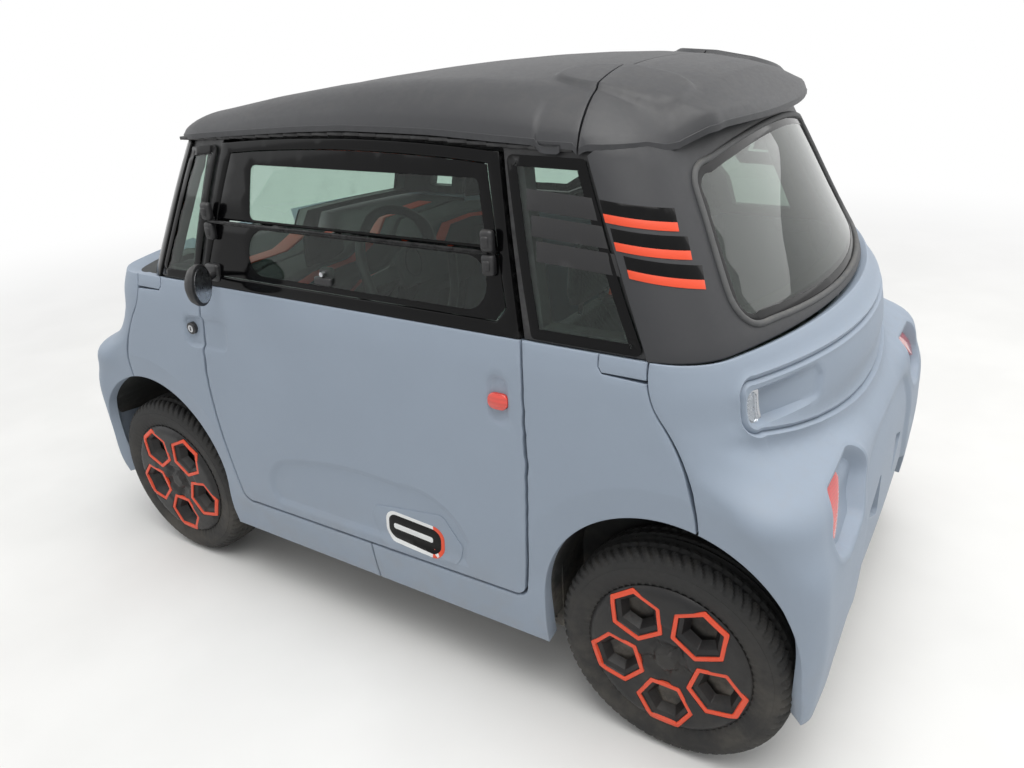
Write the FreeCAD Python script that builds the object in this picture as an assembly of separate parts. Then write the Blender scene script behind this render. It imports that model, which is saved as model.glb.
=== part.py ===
import FreeCAD, Part
import math
import os

V = FreeCAD.Vector

# Driving dimensions, mm. +X to the rear, +Y to the car's right, +Z up, floor at Z = 0.
WHEELBASE = 1730.0
TRACK = 1170.0
TYRE_RADIUS = 278.5
TYRE_WIDTH = 155.0
RIM_RADIUS = 178.0
CAP_RADIUS = 196.0
CAP_OPENINGS = 5
CAP_HEX_SIZE = 46.0
CAP_HEX_CIRCLE = 128.0
STUB_RADIUS = 17.5
RUNNING_FIT = 0.05
KING_PIN_INSET = 10.0

FLOOR_Z = 205.0
BELT_Z = 1000.0
ROOF_CREST_Z = 1525.0

DOOR_WALL = 50.0
BODY_WALL = 40.0
SKIN = 10.0
CELL_DEPTH = 40.0
GLASS_DEPTH = 4.0
GLASS = 6.0
PANEL_GAP = 4.0
DOOR_GAP = 7.0
SOFT_GAP = 0.3

ARCH_RADIUS = 300.0
ARCH_CENTRE_Z = 361.0
LINER = 6.0
FRONT_HOUSE_Y = 362.0
REAR_HOUSE_Y = 490.0

DOOR_REAR_X = 513.0
HINGE_Y = 694.0
HINGE_HEIGHTS = (410.0, 590.0)
HINGE_KNUCKLE = 22.0
HINGE_BARREL = 3.2
HINGE_PIN = 1.6
HINGE_LEAF = 4.5
SILL_TOP_Z = 335.0
SILL_LOW_Z = 212.0

# Body sections. Columns: height, half length, half width, end arc radius, corner radius.
BODY_SECTIONS = [
    (175.0, 1186.0, 668.0, 14000.0, 65.0),
    (300.0, 1200.0, 688.0, 14000.0, 65.0),
    (470.0, 1205.0, 695.0, 14000.0, 70.0),
    (620.0, 1196.0, 694.0, 8000.0, 85.0),
    (720.0, 1163.0, 690.0, 4200.0, 115.0),
    (795.0, 1116.0, 684.0, 2000.0, 145.0),
    (870.0, 1122.0, 677.0, 1300.0, 155.0),
    (945.0, 1104.0, 668.0, 1300.0, 155.0),
    (BELT_Z, 1064.0, 656.0, 1450.0, 150.0),
]

# Cabin sections. Columns: height, front length, rear length, half width, end arc radius, corner radius.
CABIN_SECTIONS = [
    (BELT_Z, 922.0, 1048.0, 654.0, 1500.0, 150.0),
    (1130.0, 852.0, 968.0, 628.0, 1500.0, 150.0),
    (1260.0, 783.0, 895.0, 600.0, 1450.0, 145.0),
    (1390.0, 712.0, 822.0, 566.0, 1400.0, 140.0),
    (1540.0, 625.0, 750.0, 520.0, 1400.0, 130.0),
]

# Roof crown. Columns: distance along the car, height in the middle, height at the roof's side line.
ROOF_SIDE_Y = 560.0
ROOF_SECTIONS = [
    (-1100.0, 1335.0, 1310.0),
    (-500.0, 1448.0, 1398.0),
    (50.0, 1517.0, 1414.0),
    (400.0, ROOF_CREST_Z, 1408.0),
    (700.0, 1505.0, 1389.0),
    (1100.0, 1385.0, 1300.0),
]
ROOF_PLAN = (735.0, 917.0, 572.0, 1500.0, 140.0)
ROOF_SKIN = 12.0

FRONT_AXLE_X = -WHEELBASE / 2
REAR_AXLE_X = WHEELBASE / 2
AXLE_Z = TYRE_RADIUS
HALF_TRACK = TRACK / 2
STEER_AXIS_Y = HALF_TRACK - KING_PIN_INSET
STUB_END_Y = HALF_TRACK + 69.0
PARTS = {}


def flat_face(points, place):
    """Closed flat face from corners (u, v) or arcs (mid u, mid v, end u, end v)."""
    edges = []
    here = place(*points[0])
    for step in points[1:] + [points[0]]:
        there = place(step[-2], step[-1])
        if len(step) == 4:
            edges.append(Part.Arc(here, place(step[0], step[1]), there).toShape())
        elif here.distanceToPoint(there) > 0.01:
            edges.append(Part.LineSegment(here, there).toShape())
        here = there
    return Part.Face(Part.Wire(edges))


def polyline_xz(points, y=0.0):
    return flat_face(points, lambda u, v: V(u, y, v))


def polyline_yz(points, x=0.0):
    return flat_face(points, lambda u, v: V(x, u, v))


def prism_y(points, low_y, high_y):
    return polyline_xz(points, low_y).extrude(V(0, high_y - low_y, 0))


def prism_x(points, low_x, high_x):
    return polyline_yz(points, low_x).extrude(V(high_x - low_x, 0, 0))


def block(low, high):
    return Part.makeBox(high[0] - low[0], high[1] - low[1], high[2] - low[2], V(*low))


def rod(start, end, radius):
    """Round bar from one point to another."""
    start = V(*start)
    way = V(*end) - start
    return Part.makeCylinder(radius, way.Length, start, way)


def plate_between(start, end, width, thickness):
    """Flat bar along a line, its width square to the line in plan."""
    start = V(*start)
    way = V(*end) - start
    bar = Part.makeBox(way.Length, width, thickness, V(0, -width / 2, -thickness / 2))
    turn = FreeCAD.Rotation(V(1, 0, 0), way)
    bar.Placement = FreeCAD.Placement(start, turn)
    return bar


def ring_profile(points, centre_x, outward, centre_y, centre_z):
    """Solid of revolution about a wheel axis from (distance outward, radius) corners."""
    loop = [V(centre_x, centre_y + outward * across, centre_z + radius) for across, radius in points]
    face = Part.Face(Part.makePolygon(loop + loop[:1]))
    return face.revolve(V(centre_x, centre_y, centre_z), V(0, 1, 0), 360)


def end_arc(length, width, end_radius, corner_radius):
    """Points of one quarter outline, from the side line to the middle of the end."""
    centre_x = length - end_radius
    corner_y = width - corner_radius
    reach = end_radius - corner_radius
    corner_x = centre_x + math.sqrt(reach * reach - corner_y * corner_y)
    angle = math.atan2(corner_y, corner_x - centre_x)
    half = (angle + math.pi / 2) / 2
    middle = (corner_x + corner_radius * math.cos(half), corner_y + corner_radius * math.sin(half))
    touch = (centre_x + end_radius * math.cos(angle), end_radius * math.sin(angle))
    return (corner_x, width), middle, touch, (length, 0.0)


def outline(height, front, rear, width, end_radius, corner_radius):
    """Rounded plan outline at one height, as eight tangent edges."""
    side_r, mid_r, touch_r, tip_r = end_arc(rear, width, end_radius, corner_radius)
    side_f, mid_f, touch_f, tip_f = end_arc(front, width, end_radius, corner_radius)

    def at(pair, sign_x, sign_y):
        return V(sign_x * pair[0], sign_y * pair[1], height)

    edges = [
        Part.LineSegment(at(side_f, -1, 1), at(side_r, 1, 1)).toShape(),
        Part.Arc(at(side_r, 1, 1), at(mid_r, 1, 1), at(touch_r, 1, 1)).toShape(),
        Part.Arc(at(touch_r, 1, 1), at(tip_r, 1, 1), at(touch_r, 1, -1)).toShape(),
        Part.Arc(at(touch_r, 1, -1), at(mid_r, 1, -1), at(side_r, 1, -1)).toShape(),
        Part.LineSegment(at(side_r, 1, -1), at(side_f, -1, -1)).toShape(),
        Part.Arc(at(side_f, -1, -1), at(mid_f, -1, -1), at(touch_f, -1, -1)).toShape(),
        Part.Arc(at(touch_f, -1, -1), at(tip_f, -1, 1), at(touch_f, -1, 1)).toShape(),
        Part.Arc(at(touch_f, -1, 1), at(mid_f, -1, 1), at(side_f, -1, 1)).toShape(),
    ]
    return Part.Wire(edges)


def body_solid(inset):
    """Lower body as a solid, every section drawn in by the inset."""
    wires = [outline(z, a - inset, a - inset, b - inset, e - inset, c - inset)
             for z, a, b, e, c in BODY_SECTIONS]
    return Part.makeLoft(wires, True, False)


def roof_solid(drop):
    """Everything under the roof's crown, lowered by the drop."""
    wires = []
    half_width = 800.0
    low = BELT_Z - 300.0
    for x, crest, side in ROOF_SECTIONS:
        fall = crest - side
        across = (ROOF_SIDE_Y * ROOF_SIDE_Y + fall * fall) / (2 * fall)
        edge_fall = across - math.sqrt(across * across - half_width * half_width)
        left = V(x, -half_width, crest - drop - edge_fall)
        right = V(x, half_width, crest - drop - edge_fall)
        wires.append(Part.Wire([
            Part.Arc(left, V(x, 0, crest - drop), right).toShape(),
            Part.LineSegment(right, V(x, half_width, low)).toShape(),
            Part.LineSegment(V(x, half_width, low), V(x, -half_width, low)).toShape(),
            Part.LineSegment(V(x, -half_width, low), left).toShape(),
        ]))
    return Part.makeLoft(wires, True, False)


def cabin_solid(inset):
    """Glazed upper body as a solid, drawn in by the inset; the roof closes it."""
    wires = [outline(z, f - inset, r - inset, b - inset, e - inset, c - inset)
             for z, f, r, b, e, c in CABIN_SECTIONS]
    return Part.makeLoft(wires, True, False)


def turned(shape):
    """The same piece on the other side, turned half round: both ends of the car are alike."""
    return shape.rotated(V(0, 0, 0), V(0, 0, 1), 180)


def mirrored(shape):
    return shape.mirror(V(0, 0, 0), V(0, 1, 0))


def keep(name, shape):
    """Store one sub-part, as a single solid or a compound of separate ones."""
    solids = shape.Solids
    PARTS[name] = solids[0] if len(solids) == 1 else Part.makeCompound(solids)


# Side outlines in X and Z. An arc step is (mid x, mid z, end x, end z).
DOOR_OUTLINE = [
    (-440.0, SILL_TOP_Z),
    (488.0, SILL_TOP_Z + 12.0),
    (506.0, SILL_TOP_Z + 20.0, DOOR_REAR_X, 374.0),
    (DOOR_REAR_X, BELT_Z),
    (433.0, 1374.0),
    (5.0, 1390.0, -420.0, 1370.0),
    (-518.0, BELT_Z),
    (-537.0, 790.0, -516.0, 520.0),
    (-488.0, 365.0),
    (-472.0, 340.0, -440.0, SILL_TOP_Z),
]
WINDOW_OUTLINE = [
    (-472.0, 1030.0),
    (450.0, 1030.0),
    (474.0, 1062.0),
    (406.0, 1350.0),
    (5.0, 1364.0, -392.0, 1346.0),
    (-490.0, 1050.0),
]
WINDOW_SPLIT_Z = 1175.0
QUARTER_FRONT = [(-708.0, BELT_Z + 6), (-540.0, BELT_Z + 6), (-440.0, 1374.0), (-552.0, 1362.0)]
QUARTER_REAR = [(540.0, BELT_Z + 6), (795.0, BELT_Z + 6), (628.0, 1378.0), (450.0, 1384.0)]


def seam_profile(offset):
    """Region behind the seam between wing and tail, moved back by the offset."""
    return [
        (815.0 + offset, 1040.0),
        (807.0 + offset, 970.0, 836.0 + offset, 893.0),
        (900.0 + offset, 790.0, 929.0 + offset, 635.0),
        (929.0 + offset, 120.0),
        (1400.0, 120.0),
        (1400.0, 1040.0),
    ]


def wing_region(offset):
    """Region ahead of the same seam."""
    return [
        (815.0 - offset, 1040.0),
        (807.0 - offset, 970.0, 836.0 - offset, 893.0),
        (900.0 - offset, 790.0, 929.0 - offset, 635.0),
        (929.0 - offset, 120.0),
        (0.0, 120.0),
        (0.0, 1040.0),
    ]


def arch_cut(axle_x, inner_y):
    """Space of a wheel arch on the left side, open to the outside and below."""
    top = ARCH_CENTRE_Z + ARCH_RADIUS
    return prism_y([
        (axle_x - ARCH_RADIUS, 100.0),
        (axle_x - ARCH_RADIUS, ARCH_CENTRE_Z),
        (axle_x, top, axle_x + ARCH_RADIUS, ARCH_CENTRE_Z),
        (axle_x + ARCH_RADIUS, 100.0),
    ], -800.0, -inner_y)


# The shells that every panel is cut from.
body_outer = body_solid(0.0)
body_shell = body_outer.cut(body_solid(BODY_WALL))
door_shell = body_outer.cut(body_solid(DOOR_WALL))
cabin_outer = cabin_solid(0.0)
cabin_skin = cabin_outer.cut(cabin_solid(SKIN))
cabin_cell = cabin_solid(SKIN).cut(cabin_solid(SKIN + CELL_DEPTH))
cabin_door = cabin_outer.cut(cabin_solid(SKIN + CELL_DEPTH))
glass_layer = cabin_solid(GLASS_DEPTH).cut(cabin_solid(GLASS_DEPTH + GLASS))

door_face = polyline_xz(DOOR_OUTLINE, -800.0)
door_space = door_face.extrude(V(0, 700.0, 0))
door_hole_left = door_face.makeOffset2D(DOOR_GAP).extrude(V(0, 700.0, 0))
door_hole_right = turned(door_hole_left)
front_arch_left = arch_cut(FRONT_AXLE_X, FRONT_HOUSE_Y)
rear_arch_left = arch_cut(REAR_AXLE_X, REAR_HOUSE_Y)
arches = [front_arch_left, rear_arch_left, mirrored(front_arch_left), mirrored(rear_arch_left)]


def cut_all(shape, tools):
    for tool in tools:
        shape = shape.cut(tool)
    return shape


# Nose and tail are one moulding used twice.
SKIRT_SIDE_Z = 228.0
SKIRT_OUTLINE = [(-530.0, 100.0), (-505.0, 300.0), (-430.0, 368.0),
                 (430.0, 368.0), (505.0, 300.0), (530.0, 100.0)]
SHELF_DEPTH = 35.0
SHELF_REACH_X = 880.0
LAMP_POCKET_DEPTH = 30.0
POCKET = [(-565.0, 650.0), (-525.0, 732.0), (-300.0, 722.0),
          (-268.0, 640.0), (-385.0, 482.0), (-470.0, 490.0)]
LENS_INNER_Y = 490.0
LENS_DEPTH = 10.0
POD_DEPTH = 9.0
POD_OUTLINE = [(-520.0, 955.0), (520.0, 955.0), (588.0, 930.0, 560.0, 862.0), (0.0, 806.0, -560.0, 862.0),
               (-588.0, 930.0, -520.0, 955.0)]


def flipped(points):
    """The same outline on the other side of the car."""
    return [(-y, z) for y, z in points]


def end_panel():
    """Tail moulding with its inner ledge, lamp pockets, wheel arch ends and a raised skirt."""
    panel = body_shell.common(prism_y(seam_profile(PANEL_GAP / 2), -800.0, 800.0))
    ledge = body_outer.common(block((SHELF_REACH_X, -560.0, BELT_Z - SHELF_DEPTH), (1400.0, 560.0, BELT_Z)))
    panel = panel.fuse(ledge)
    panel = cut_all(panel, [rear_arch_left, mirrored(rear_arch_left)])
    panel = panel.cut(block((700.0, -800.0, 100.0), (1400.0, 800.0, SKIRT_SIDE_Z)))
    panel = panel.cut(prism_x(SKIRT_OUTLINE, 700.0, 1400.0))
    pocket_layer = body_outer.cut(body_solid(LAMP_POCKET_DEPTH))
    for points in (POCKET, flipped(POCKET)):
        panel = panel.cut(prism_x(points, 900.0, 1400.0).common(pocket_layer))
    pod = body_outer.cut(body_solid(POD_DEPTH)).common(prism_x(POD_OUTLINE, 900.0, 1400.0))
    return panel.cut(pod)


tail_panel = end_panel()
keep("tail_panel", tail_panel)
keep("nose_panel", turned(tail_panel))

# Wings carry half of the sill each, split under the door.
SILL_SPLIT_X = 20.0


def side_panel(sign_x):
    """Left wing at one end of the car, from the nose or tail seam to the sill split."""
    region = prism_y(wing_region(PANEL_GAP / 2), -800.0, -300.0)
    split = SILL_SPLIT_X
    if sign_x < 0:
        region = mirror_x(region)
        region = region.fuse(block((-10.0, -800.0, 120.0), (split - PANEL_GAP / 2, -300.0, 1040.0)))
    else:
        region = region.cut(block((-10.0, -800.0, 100.0), (split + PANEL_GAP / 2, -300.0, 1100.0)))
    panel = body_shell.common(region)
    panel = panel.cut(door_hole_left)
    panel = panel.cut(block((-1300.0, -800.0, 100.0), (1300.0, 800.0, SILL_LOW_Z)))
    return cut_all(panel, [front_arch_left, rear_arch_left])


def mirror_x(shape):
    return shape.mirror(V(0, 0, 0), V(1, 0, 0))


HINGE_X = DOOR_REAR_X + DOOR_GAP / 2


def hinge_knuckle(low_z, high_z, edge_x):
    """Barrel on the door's axis with a leaf that reaches into the panel at one edge."""
    low_x, high_x = sorted((HINGE_X, edge_x))
    leaf = block((low_x, -HINGE_Y + 0.5, low_z), (high_x, -HINGE_Y + HINGE_LEAF, high_z))
    return rod((HINGE_X, -HINGE_Y, low_z), (HINGE_X, -HINGE_Y, high_z), HINGE_BARREL).fuse(leaf)


def add_wing_hinges(panel):
    """Outer knuckles and the pins of both door hinges."""
    half = HINGE_KNUCKLE / 2
    edge = DOOR_REAR_X + DOOR_GAP + 6.0
    for z in HINGE_HEIGHTS:
        panel = panel.fuse(hinge_knuckle(z + half + SOFT_GAP, z + 3 * half, edge))
        panel = panel.fuse(hinge_knuckle(z - 3 * half, z - half - SOFT_GAP, edge))
        pin = rod((HINGE_X, -HINGE_Y, z - half - 1), (HINGE_X, -HINGE_Y, z + half + 1), HINGE_PIN)
        panel = panel.fuse(pin)
    return panel


def add_door_hinges(panel):
    """Middle knuckle of both door hinges, bored for the pin."""
    half = HINGE_KNUCKLE / 2
    for z in HINGE_HEIGHTS:
        panel = panel.fuse(hinge_knuckle(z - half, z + half, DOOR_REAR_X - 6.0))
        bore_radius = HINGE_PIN + RUNNING_FIT
        bore = rod((HINGE_X, -HINGE_Y, z - half - 2), (HINGE_X, -HINGE_Y, z + half + 2), bore_radius)
        panel = panel.cut(bore)
    return panel


wing_front = side_panel(-1)
wing_rear = add_wing_hinges(side_panel(1))
keep("wing_front_left", wing_front)
keep("wing_rear_left", wing_rear)
keep("wing_front_right", turned(wing_rear))
keep("wing_rear_right", turned(wing_front))

# Doors: lower shell, window frame, two panes and the fittings of the tilting pane.
door_lower = add_door_hinges(door_shell.common(door_space))
door_frame = cabin_door.common(door_space)
window_space = prism_y(WINDOW_OUTLINE, -800.0, -300.0)
GLASS_LAP = 12.0
pane_space = polyline_xz(WINDOW_OUTLINE, -800.0).makeOffset2D(GLASS_LAP).extrude(V(0, 500.0, 0))
pane = glass_layer.common(pane_space)
door_frame = door_frame.cut(window_space).cut(pane)
split_block = block((-700.0, -800.0, WINDOW_SPLIT_Z - 3), (700.0, -300.0, WINDOW_SPLIT_Z + 3))
door_glass = pane.cut(split_block)

BAR_RADIUS = 6.0
BAR_Y = 632.0
BAR_ENDS = (-462.0, 432.0)


def door_fittings():
    """Hinge bar along the window with its two double hinges, and the pane's latch block."""
    bar = rod((BAR_ENDS[0], -BAR_Y, WINDOW_SPLIT_Z), (BAR_ENDS[1], -BAR_Y, WINDOW_SPLIT_Z), BAR_RADIUS)
    pieces = [bar]
    for x in BAR_ENDS:
        pieces.append(block((x - 12.0, -BAR_Y - 9.0, WINDOW_SPLIT_Z - 34.0),
                            (x + 12.0, -BAR_Y + 9.0, WINDOW_SPLIT_Z + 34.0)))
        pieces.append(block((x - 8.0, -BAR_Y, WINDOW_SPLIT_Z - 9.0),
                            (x + 8.0, -592.0, WINDOW_SPLIT_Z + 9.0)))
    fitting = pieces[0]
    for piece in pieces[1:]:
        fitting = fitting.fuse(piece)
    return fitting.cut(cabin_outer)


MIRROR_CENTRE = (-386.0, -745.0, 1040.0)
MIRROR_RADIUS = 54.0
MIRROR_DEPTH = 38.0


def mirror_piece():
    """Round mirror head on an arm from the window's lower front corner."""
    x, y, z = MIRROR_CENTRE
    head = Part.makeCylinder(MIRROR_RADIUS, MIRROR_DEPTH, V(x - MIRROR_DEPTH, y, z), V(1, 0, 0))
    arm = plate_between((-466.0, -610.0, 1035.0), (x - MIRROR_DEPTH / 2, y + 20.0, z), 26.0, 18.0)
    foot = block((-492.0, -655.0, 1012.0), (-440.0, -600.0, 1062.0))
    return head.fuse(arm).fuse(foot).cut(cabin_outer)


fittings = door_fittings()
door_mirror = mirror_piece()
for side, place in (("left", lambda s: s), ("right", turned)):
    keep("door_" + side + "_shell", place(door_lower))
    keep("door_" + side + "_frame", place(door_frame))
    keep("door_" + side + "_glass", place(door_glass))
    keep("door_" + side + "_fittings", place(fittings))
keep("mirror_left", door_mirror)
keep("mirror_right", mirrored(door_mirror))

# Upper body: two roof mouldings, posts, glazing and the cell of rails behind them.
ROOF_SPLIT_X = 623.0
ROOF_SPLIT_TOP_X = 559.0
REAR_GLASS = [(-520.0, 1058.0), (-430.0, 1335.0), (-408.0, 1358.0), (0.0, 1396.0, 408.0, 1358.0),
              (430.0, 1335.0), (520.0, 1058.0), (500.0, 1036.0), (0.0, 1030.0, -500.0, 1036.0)]
FRONT_GLASS = [(-552.0, 1006.0), (-490.0, 1340.0), (0.0, 1385.0, 490.0, 1340.0), (552.0, 1006.0)]
GLASS_SEAT = 15.0
REAR_POST_LINE = [(636.0, 1372.0), (803.0, BELT_Z)]
FRONT_POST_LINE = [(-554.0, 1366.0), (-712.0, BELT_Z)]

under_roof = roof_solid(ROOF_SKIN)
roof_layer = roof_solid(0.0).cut(under_roof)
roof_plan = Part.Face(outline(1200.0, *ROOF_PLAN)).extrude(V(0, 0, 500.0))
roof_panel = roof_layer.common(roof_plan)


def behind_roof_seam(offset):
    """Region behind the seam between both roof panels, moved back by the offset."""
    low_x = ROOF_SPLIT_X + offset
    top_x = ROOF_SPLIT_TOP_X + offset
    return prism_y([(low_x, 1200.0), (low_x, 1378.0), (top_x, 1526.0), (top_x - 30.0, 1600.0),
                    (1300.0, 1600.0), (1300.0, 1200.0)], -800.0, 800.0)


keep("roof_front", roof_panel.cut(behind_roof_seam(-PANEL_GAP / 2)))
keep("roof_rear", roof_panel.common(behind_roof_seam(PANEL_GAP / 2)))

door_holes = door_hole_left.fuse(door_hole_right)
quarter_space = prism_y(QUARTER_FRONT, -800.0, 800.0).fuse(prism_y(QUARTER_REAR, -800.0, 800.0))
front_face = polyline_yz(FRONT_GLASS, -1300.0)
rear_face = polyline_yz(REAR_GLASS, 600.0)
front_space = front_face.extrude(V(850.0, 0, 0))
rear_space = rear_face.extrude(V(700.0, 0, 0))
glass_quarters = glass_layer.common(quarter_space).cut(door_holes)
keep("windscreen", glass_layer.common(front_space))
keep("rear_window", glass_layer.common(rear_space))
keep("quarter_glasses", glass_quarters)


def post_zone(line, far_x):
    """Region beyond the post's edge line, towards one end of the car."""
    (top_x, top_z), (low_x, low_z) = line
    return prism_y([(top_x, top_z), (top_x, 1560.0), (far_x, 1560.0), (far_x, low_z), (low_x, low_z)],
                   -800.0, 800.0)


posts_rear = cabin_skin.common(post_zone(REAR_POST_LINE, 1300.0)).cut(rear_space)
posts_front = cabin_skin.common(post_zone(FRONT_POST_LINE, -1300.0)).cut(front_space)
keep("posts_rear", posts_rear.common(under_roof))
keep("posts_front", posts_front.common(under_roof))

QUARTER_FRONT_SEAT = [(-672.0, 1030.0), (-566.0, 1030.0), (-486.0, 1336.0), (-538.0, 1330.0)]
QUARTER_REAR_SEAT = [(565.0, 1030.0), (752.0, 1030.0), (622.0, 1342.0), (492.0, 1350.0)]
RAIL_OUT_Y = 520.0
RAIL_DEPTH = 45.0
RAIL_IN_Y = 480.0
RAIL_FRONT_X = -598.0
RAIL_REAR_X = 640.0


def cell_rails():
    """Roof rails above the doors, joined to the posts at both ends."""
    rail = block((RAIL_FRONT_X, -RAIL_OUT_Y, 1345.0), (RAIL_REAR_X, -RAIL_IN_Y, 1560.0))
    rails = rail.fuse(mirrored(rail)).common(under_roof).cut(roof_solid(ROOF_SKIN + RAIL_DEPTH))
    return rails.common(cabin_solid(SKIN + 1.0))


inner_windows = [
    prism_y(QUARTER_FRONT_SEAT, -800.0, 800.0),
    prism_y(QUARTER_REAR_SEAT, -800.0, 800.0),
    front_face.makeOffset2D(-GLASS_SEAT).extrude(V(850.0, 0, 0)),
    rear_face.makeOffset2D(-GLASS_SEAT).extrude(V(700.0, 0, 0)),
]
cell = cut_all(cabin_cell.common(under_roof), inner_windows + [door_holes])
cell = cell.fuse(cell_rails().cut(door_holes))
keep("cabin_cell", cell)

# Floor tub: pan, bulkheads, shelf behind the seats and inner side walls.
TUB = 20.0
TUB_HALF_WIDTH = 600.0
TUB_FRONT_X = -540.0
TUB_REAR_X = 548.0
SHELF_Z = 700.0
SCUTTLE_Z = 968.0


def floor_tub():
    """Open-topped tub that the occupants sit in, with a shelf over the rear wheels."""
    pan = block((TUB_FRONT_X, -TUB_HALF_WIDTH, FLOOR_Z), (TUB_REAR_X, TUB_HALF_WIDTH, FLOOR_Z + TUB))
    front = block((TUB_FRONT_X - TUB, -TUB_HALF_WIDTH, FLOOR_Z), (TUB_FRONT_X, TUB_HALF_WIDTH, SCUTTLE_Z))
    rear = block((TUB_REAR_X, -TUB_HALF_WIDTH, FLOOR_Z), (TUB_REAR_X + TUB, TUB_HALF_WIDTH, SHELF_Z))
    shelf = block((TUB_REAR_X, -TUB_HALF_WIDTH, SHELF_Z - TUB), (980.0, TUB_HALF_WIDTH, SHELF_Z))
    scuttle = block((-SHELF_REACH_X, -560.0, SCUTTLE_Z - TUB), (TUB_FRONT_X, 560.0, SCUTTLE_Z))
    tub = pan.fuse(front).fuse(rear).fuse(shelf).fuse(scuttle)
    return tub.common(body_solid(BODY_WALL + 1.0))


tub = floor_tub()
keep("floor_tub", tub)


def wheel_liner(axle_x, inner_y):
    """Arch-shaped liner over one left wheel with its inner wall."""
    outer = prism_y([
        (axle_x - ARCH_RADIUS - LINER, FLOOR_Z + 60.0),
        (axle_x - ARCH_RADIUS - LINER, ARCH_CENTRE_Z),
        (axle_x, ARCH_CENTRE_Z + ARCH_RADIUS + LINER, axle_x + ARCH_RADIUS + LINER, ARCH_CENTRE_Z),
        (axle_x + ARCH_RADIUS + LINER, FLOOR_Z + 60.0),
    ], -900.0, -inner_y + LINER)
    return outer.cut(arch_cut(axle_x, inner_y)).common(body_solid(BODY_WALL + 1.0))


liners = []
for axle_x, inner_y in ((FRONT_AXLE_X, FRONT_HOUSE_Y), (REAR_AXLE_X, REAR_HOUSE_Y)):
    liner = wheel_liner(axle_x, inner_y)
    slot = block((axle_x - 70.0, -inner_y - 1.0, 100.0), (axle_x + 70.0, -inner_y + LINER + 1.0, 620.0))
    liner = liner.cut(slot)
    liners += [liner, mirrored(liner)]
wheel_liners = Part.makeCompound([solid for liner in liners for solid in liner.cut(tub).Solids])

# Chassis: two rails, cross members and end beams, low under the tub.
RAIL_Y = 290.0
RAIL = 50.0
RAIL_TOP = FLOOR_Z


def chassis():
    """Ladder of square tubes that carries tub, motor, battery and both axles."""
    low = RAIL_TOP - RAIL
    frame = block((-1080.0, -RAIL_Y - RAIL / 2, low), (1080.0, -RAIL_Y + RAIL / 2, RAIL_TOP))
    frame = frame.fuse(mirrored(frame))
    for x in (-1080.0, -700.0, -60.0, 560.0, 1030.0):
        frame = frame.fuse(block((x, -RAIL_Y, low), (x + RAIL, RAIL_Y, RAIL_TOP)))
    for x in (-480.0, 400.0):
        frame = frame.fuse(block((x, -560.0, low), (x + RAIL, 560.0, RAIL_TOP)))
    return frame


TOW_HOLE_RADIUS = 8.0
chassis_frame = chassis()
tow_hole = Part.makeCylinder(TOW_HOLE_RADIUS, RAIL, V(1080.0 - RAIL, -150.0, RAIL_TOP - RAIL / 2), V(1, 0, 0))
chassis_frame = chassis_frame.cut(tow_hole)
keep("chassis_frame", chassis_frame)

BATTERY = ((-20.0, -250.0, 0.0), (400.0, 250.0, 175.0))
battery_z = FLOOR_Z + TUB
keep("battery_block", block((BATTERY[0][0], BATTERY[0][1], battery_z),
                            (BATTERY[1][0], BATTERY[1][1], battery_z + BATTERY[1][2])))

# Motor over the front axle line, with the two half shafts that reach into the knuckles.
MOTOR_LOW_Z = RAIL_TOP
HALF_SHAFT_RADIUS = 12.0
HALF_SHAFT_END_Y = STEER_AXIS_Y - 55.0
motor = block((-1010.0, -180.0, MOTOR_LOW_Z), (-720.0, 180.0, 470.0))
motor = motor.fuse(block((-980.0, -RAIL_Y, MOTOR_LOW_Z), (-750.0, RAIL_Y, MOTOR_LOW_Z + 12.0)))
for sign in (-1, 1):
    motor = motor.fuse(rod((FRONT_AXLE_X, sign * 170.0, AXLE_Z),
                           (FRONT_AXLE_X, sign * HALF_SHAFT_END_Y, AXLE_Z), HALF_SHAFT_RADIUS))
    motor = motor.fuse(rod((FRONT_AXLE_X, sign * 180.0, AXLE_Z), (FRONT_AXLE_X, sign * 232.0, AXLE_Z), 34.0))
keep("motor_block", motor)

# Steering knuckles: upright with upper and lower pins on the steering axis, and the stub axle.
PIN_RADIUS = 9.0
UPPER_PIN_Z = AXLE_Z + 88.0
LOWER_PIN_Z = AXLE_Z - 92.0
ARM = 18.0


def knuckle():
    """Left knuckle: a fork of two lugs joined by the upright, with the stub axle."""
    x = FRONT_AXLE_X
    y = -STEER_AXIS_Y
    upright = block((x - 22.0, y - 16.0, LOWER_PIN_Z + 14.0), (x + 22.0, y + 16.0, UPPER_PIN_Z - 14.0))
    upright = upright.fuse(rod((x, y, LOWER_PIN_Z - 16.0), (x, y, UPPER_PIN_Z + 16.0), PIN_RADIUS))
    stub = rod((x, y, AXLE_Z), (x, -STUB_END_Y, AXLE_Z), STUB_RADIUS)
    steer_arm = block((x + 10.0, y - 8.0, AXLE_Z - 48.0), (x + 96.0, y + 10.0, AXLE_Z - 34.0))
    bore = rod((x, y + 40.0, AXLE_Z), (x, y - 2.0, AXLE_Z), HALF_SHAFT_RADIUS + 9.0)
    return upright.fuse(stub).fuse(steer_arm).cut(bore.common(block((x - 60, y, 0), (x + 60, y + 60, 600))))


keep("knuckle_left", knuckle())
keep("knuckle_right", mirrored(knuckle()))


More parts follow.
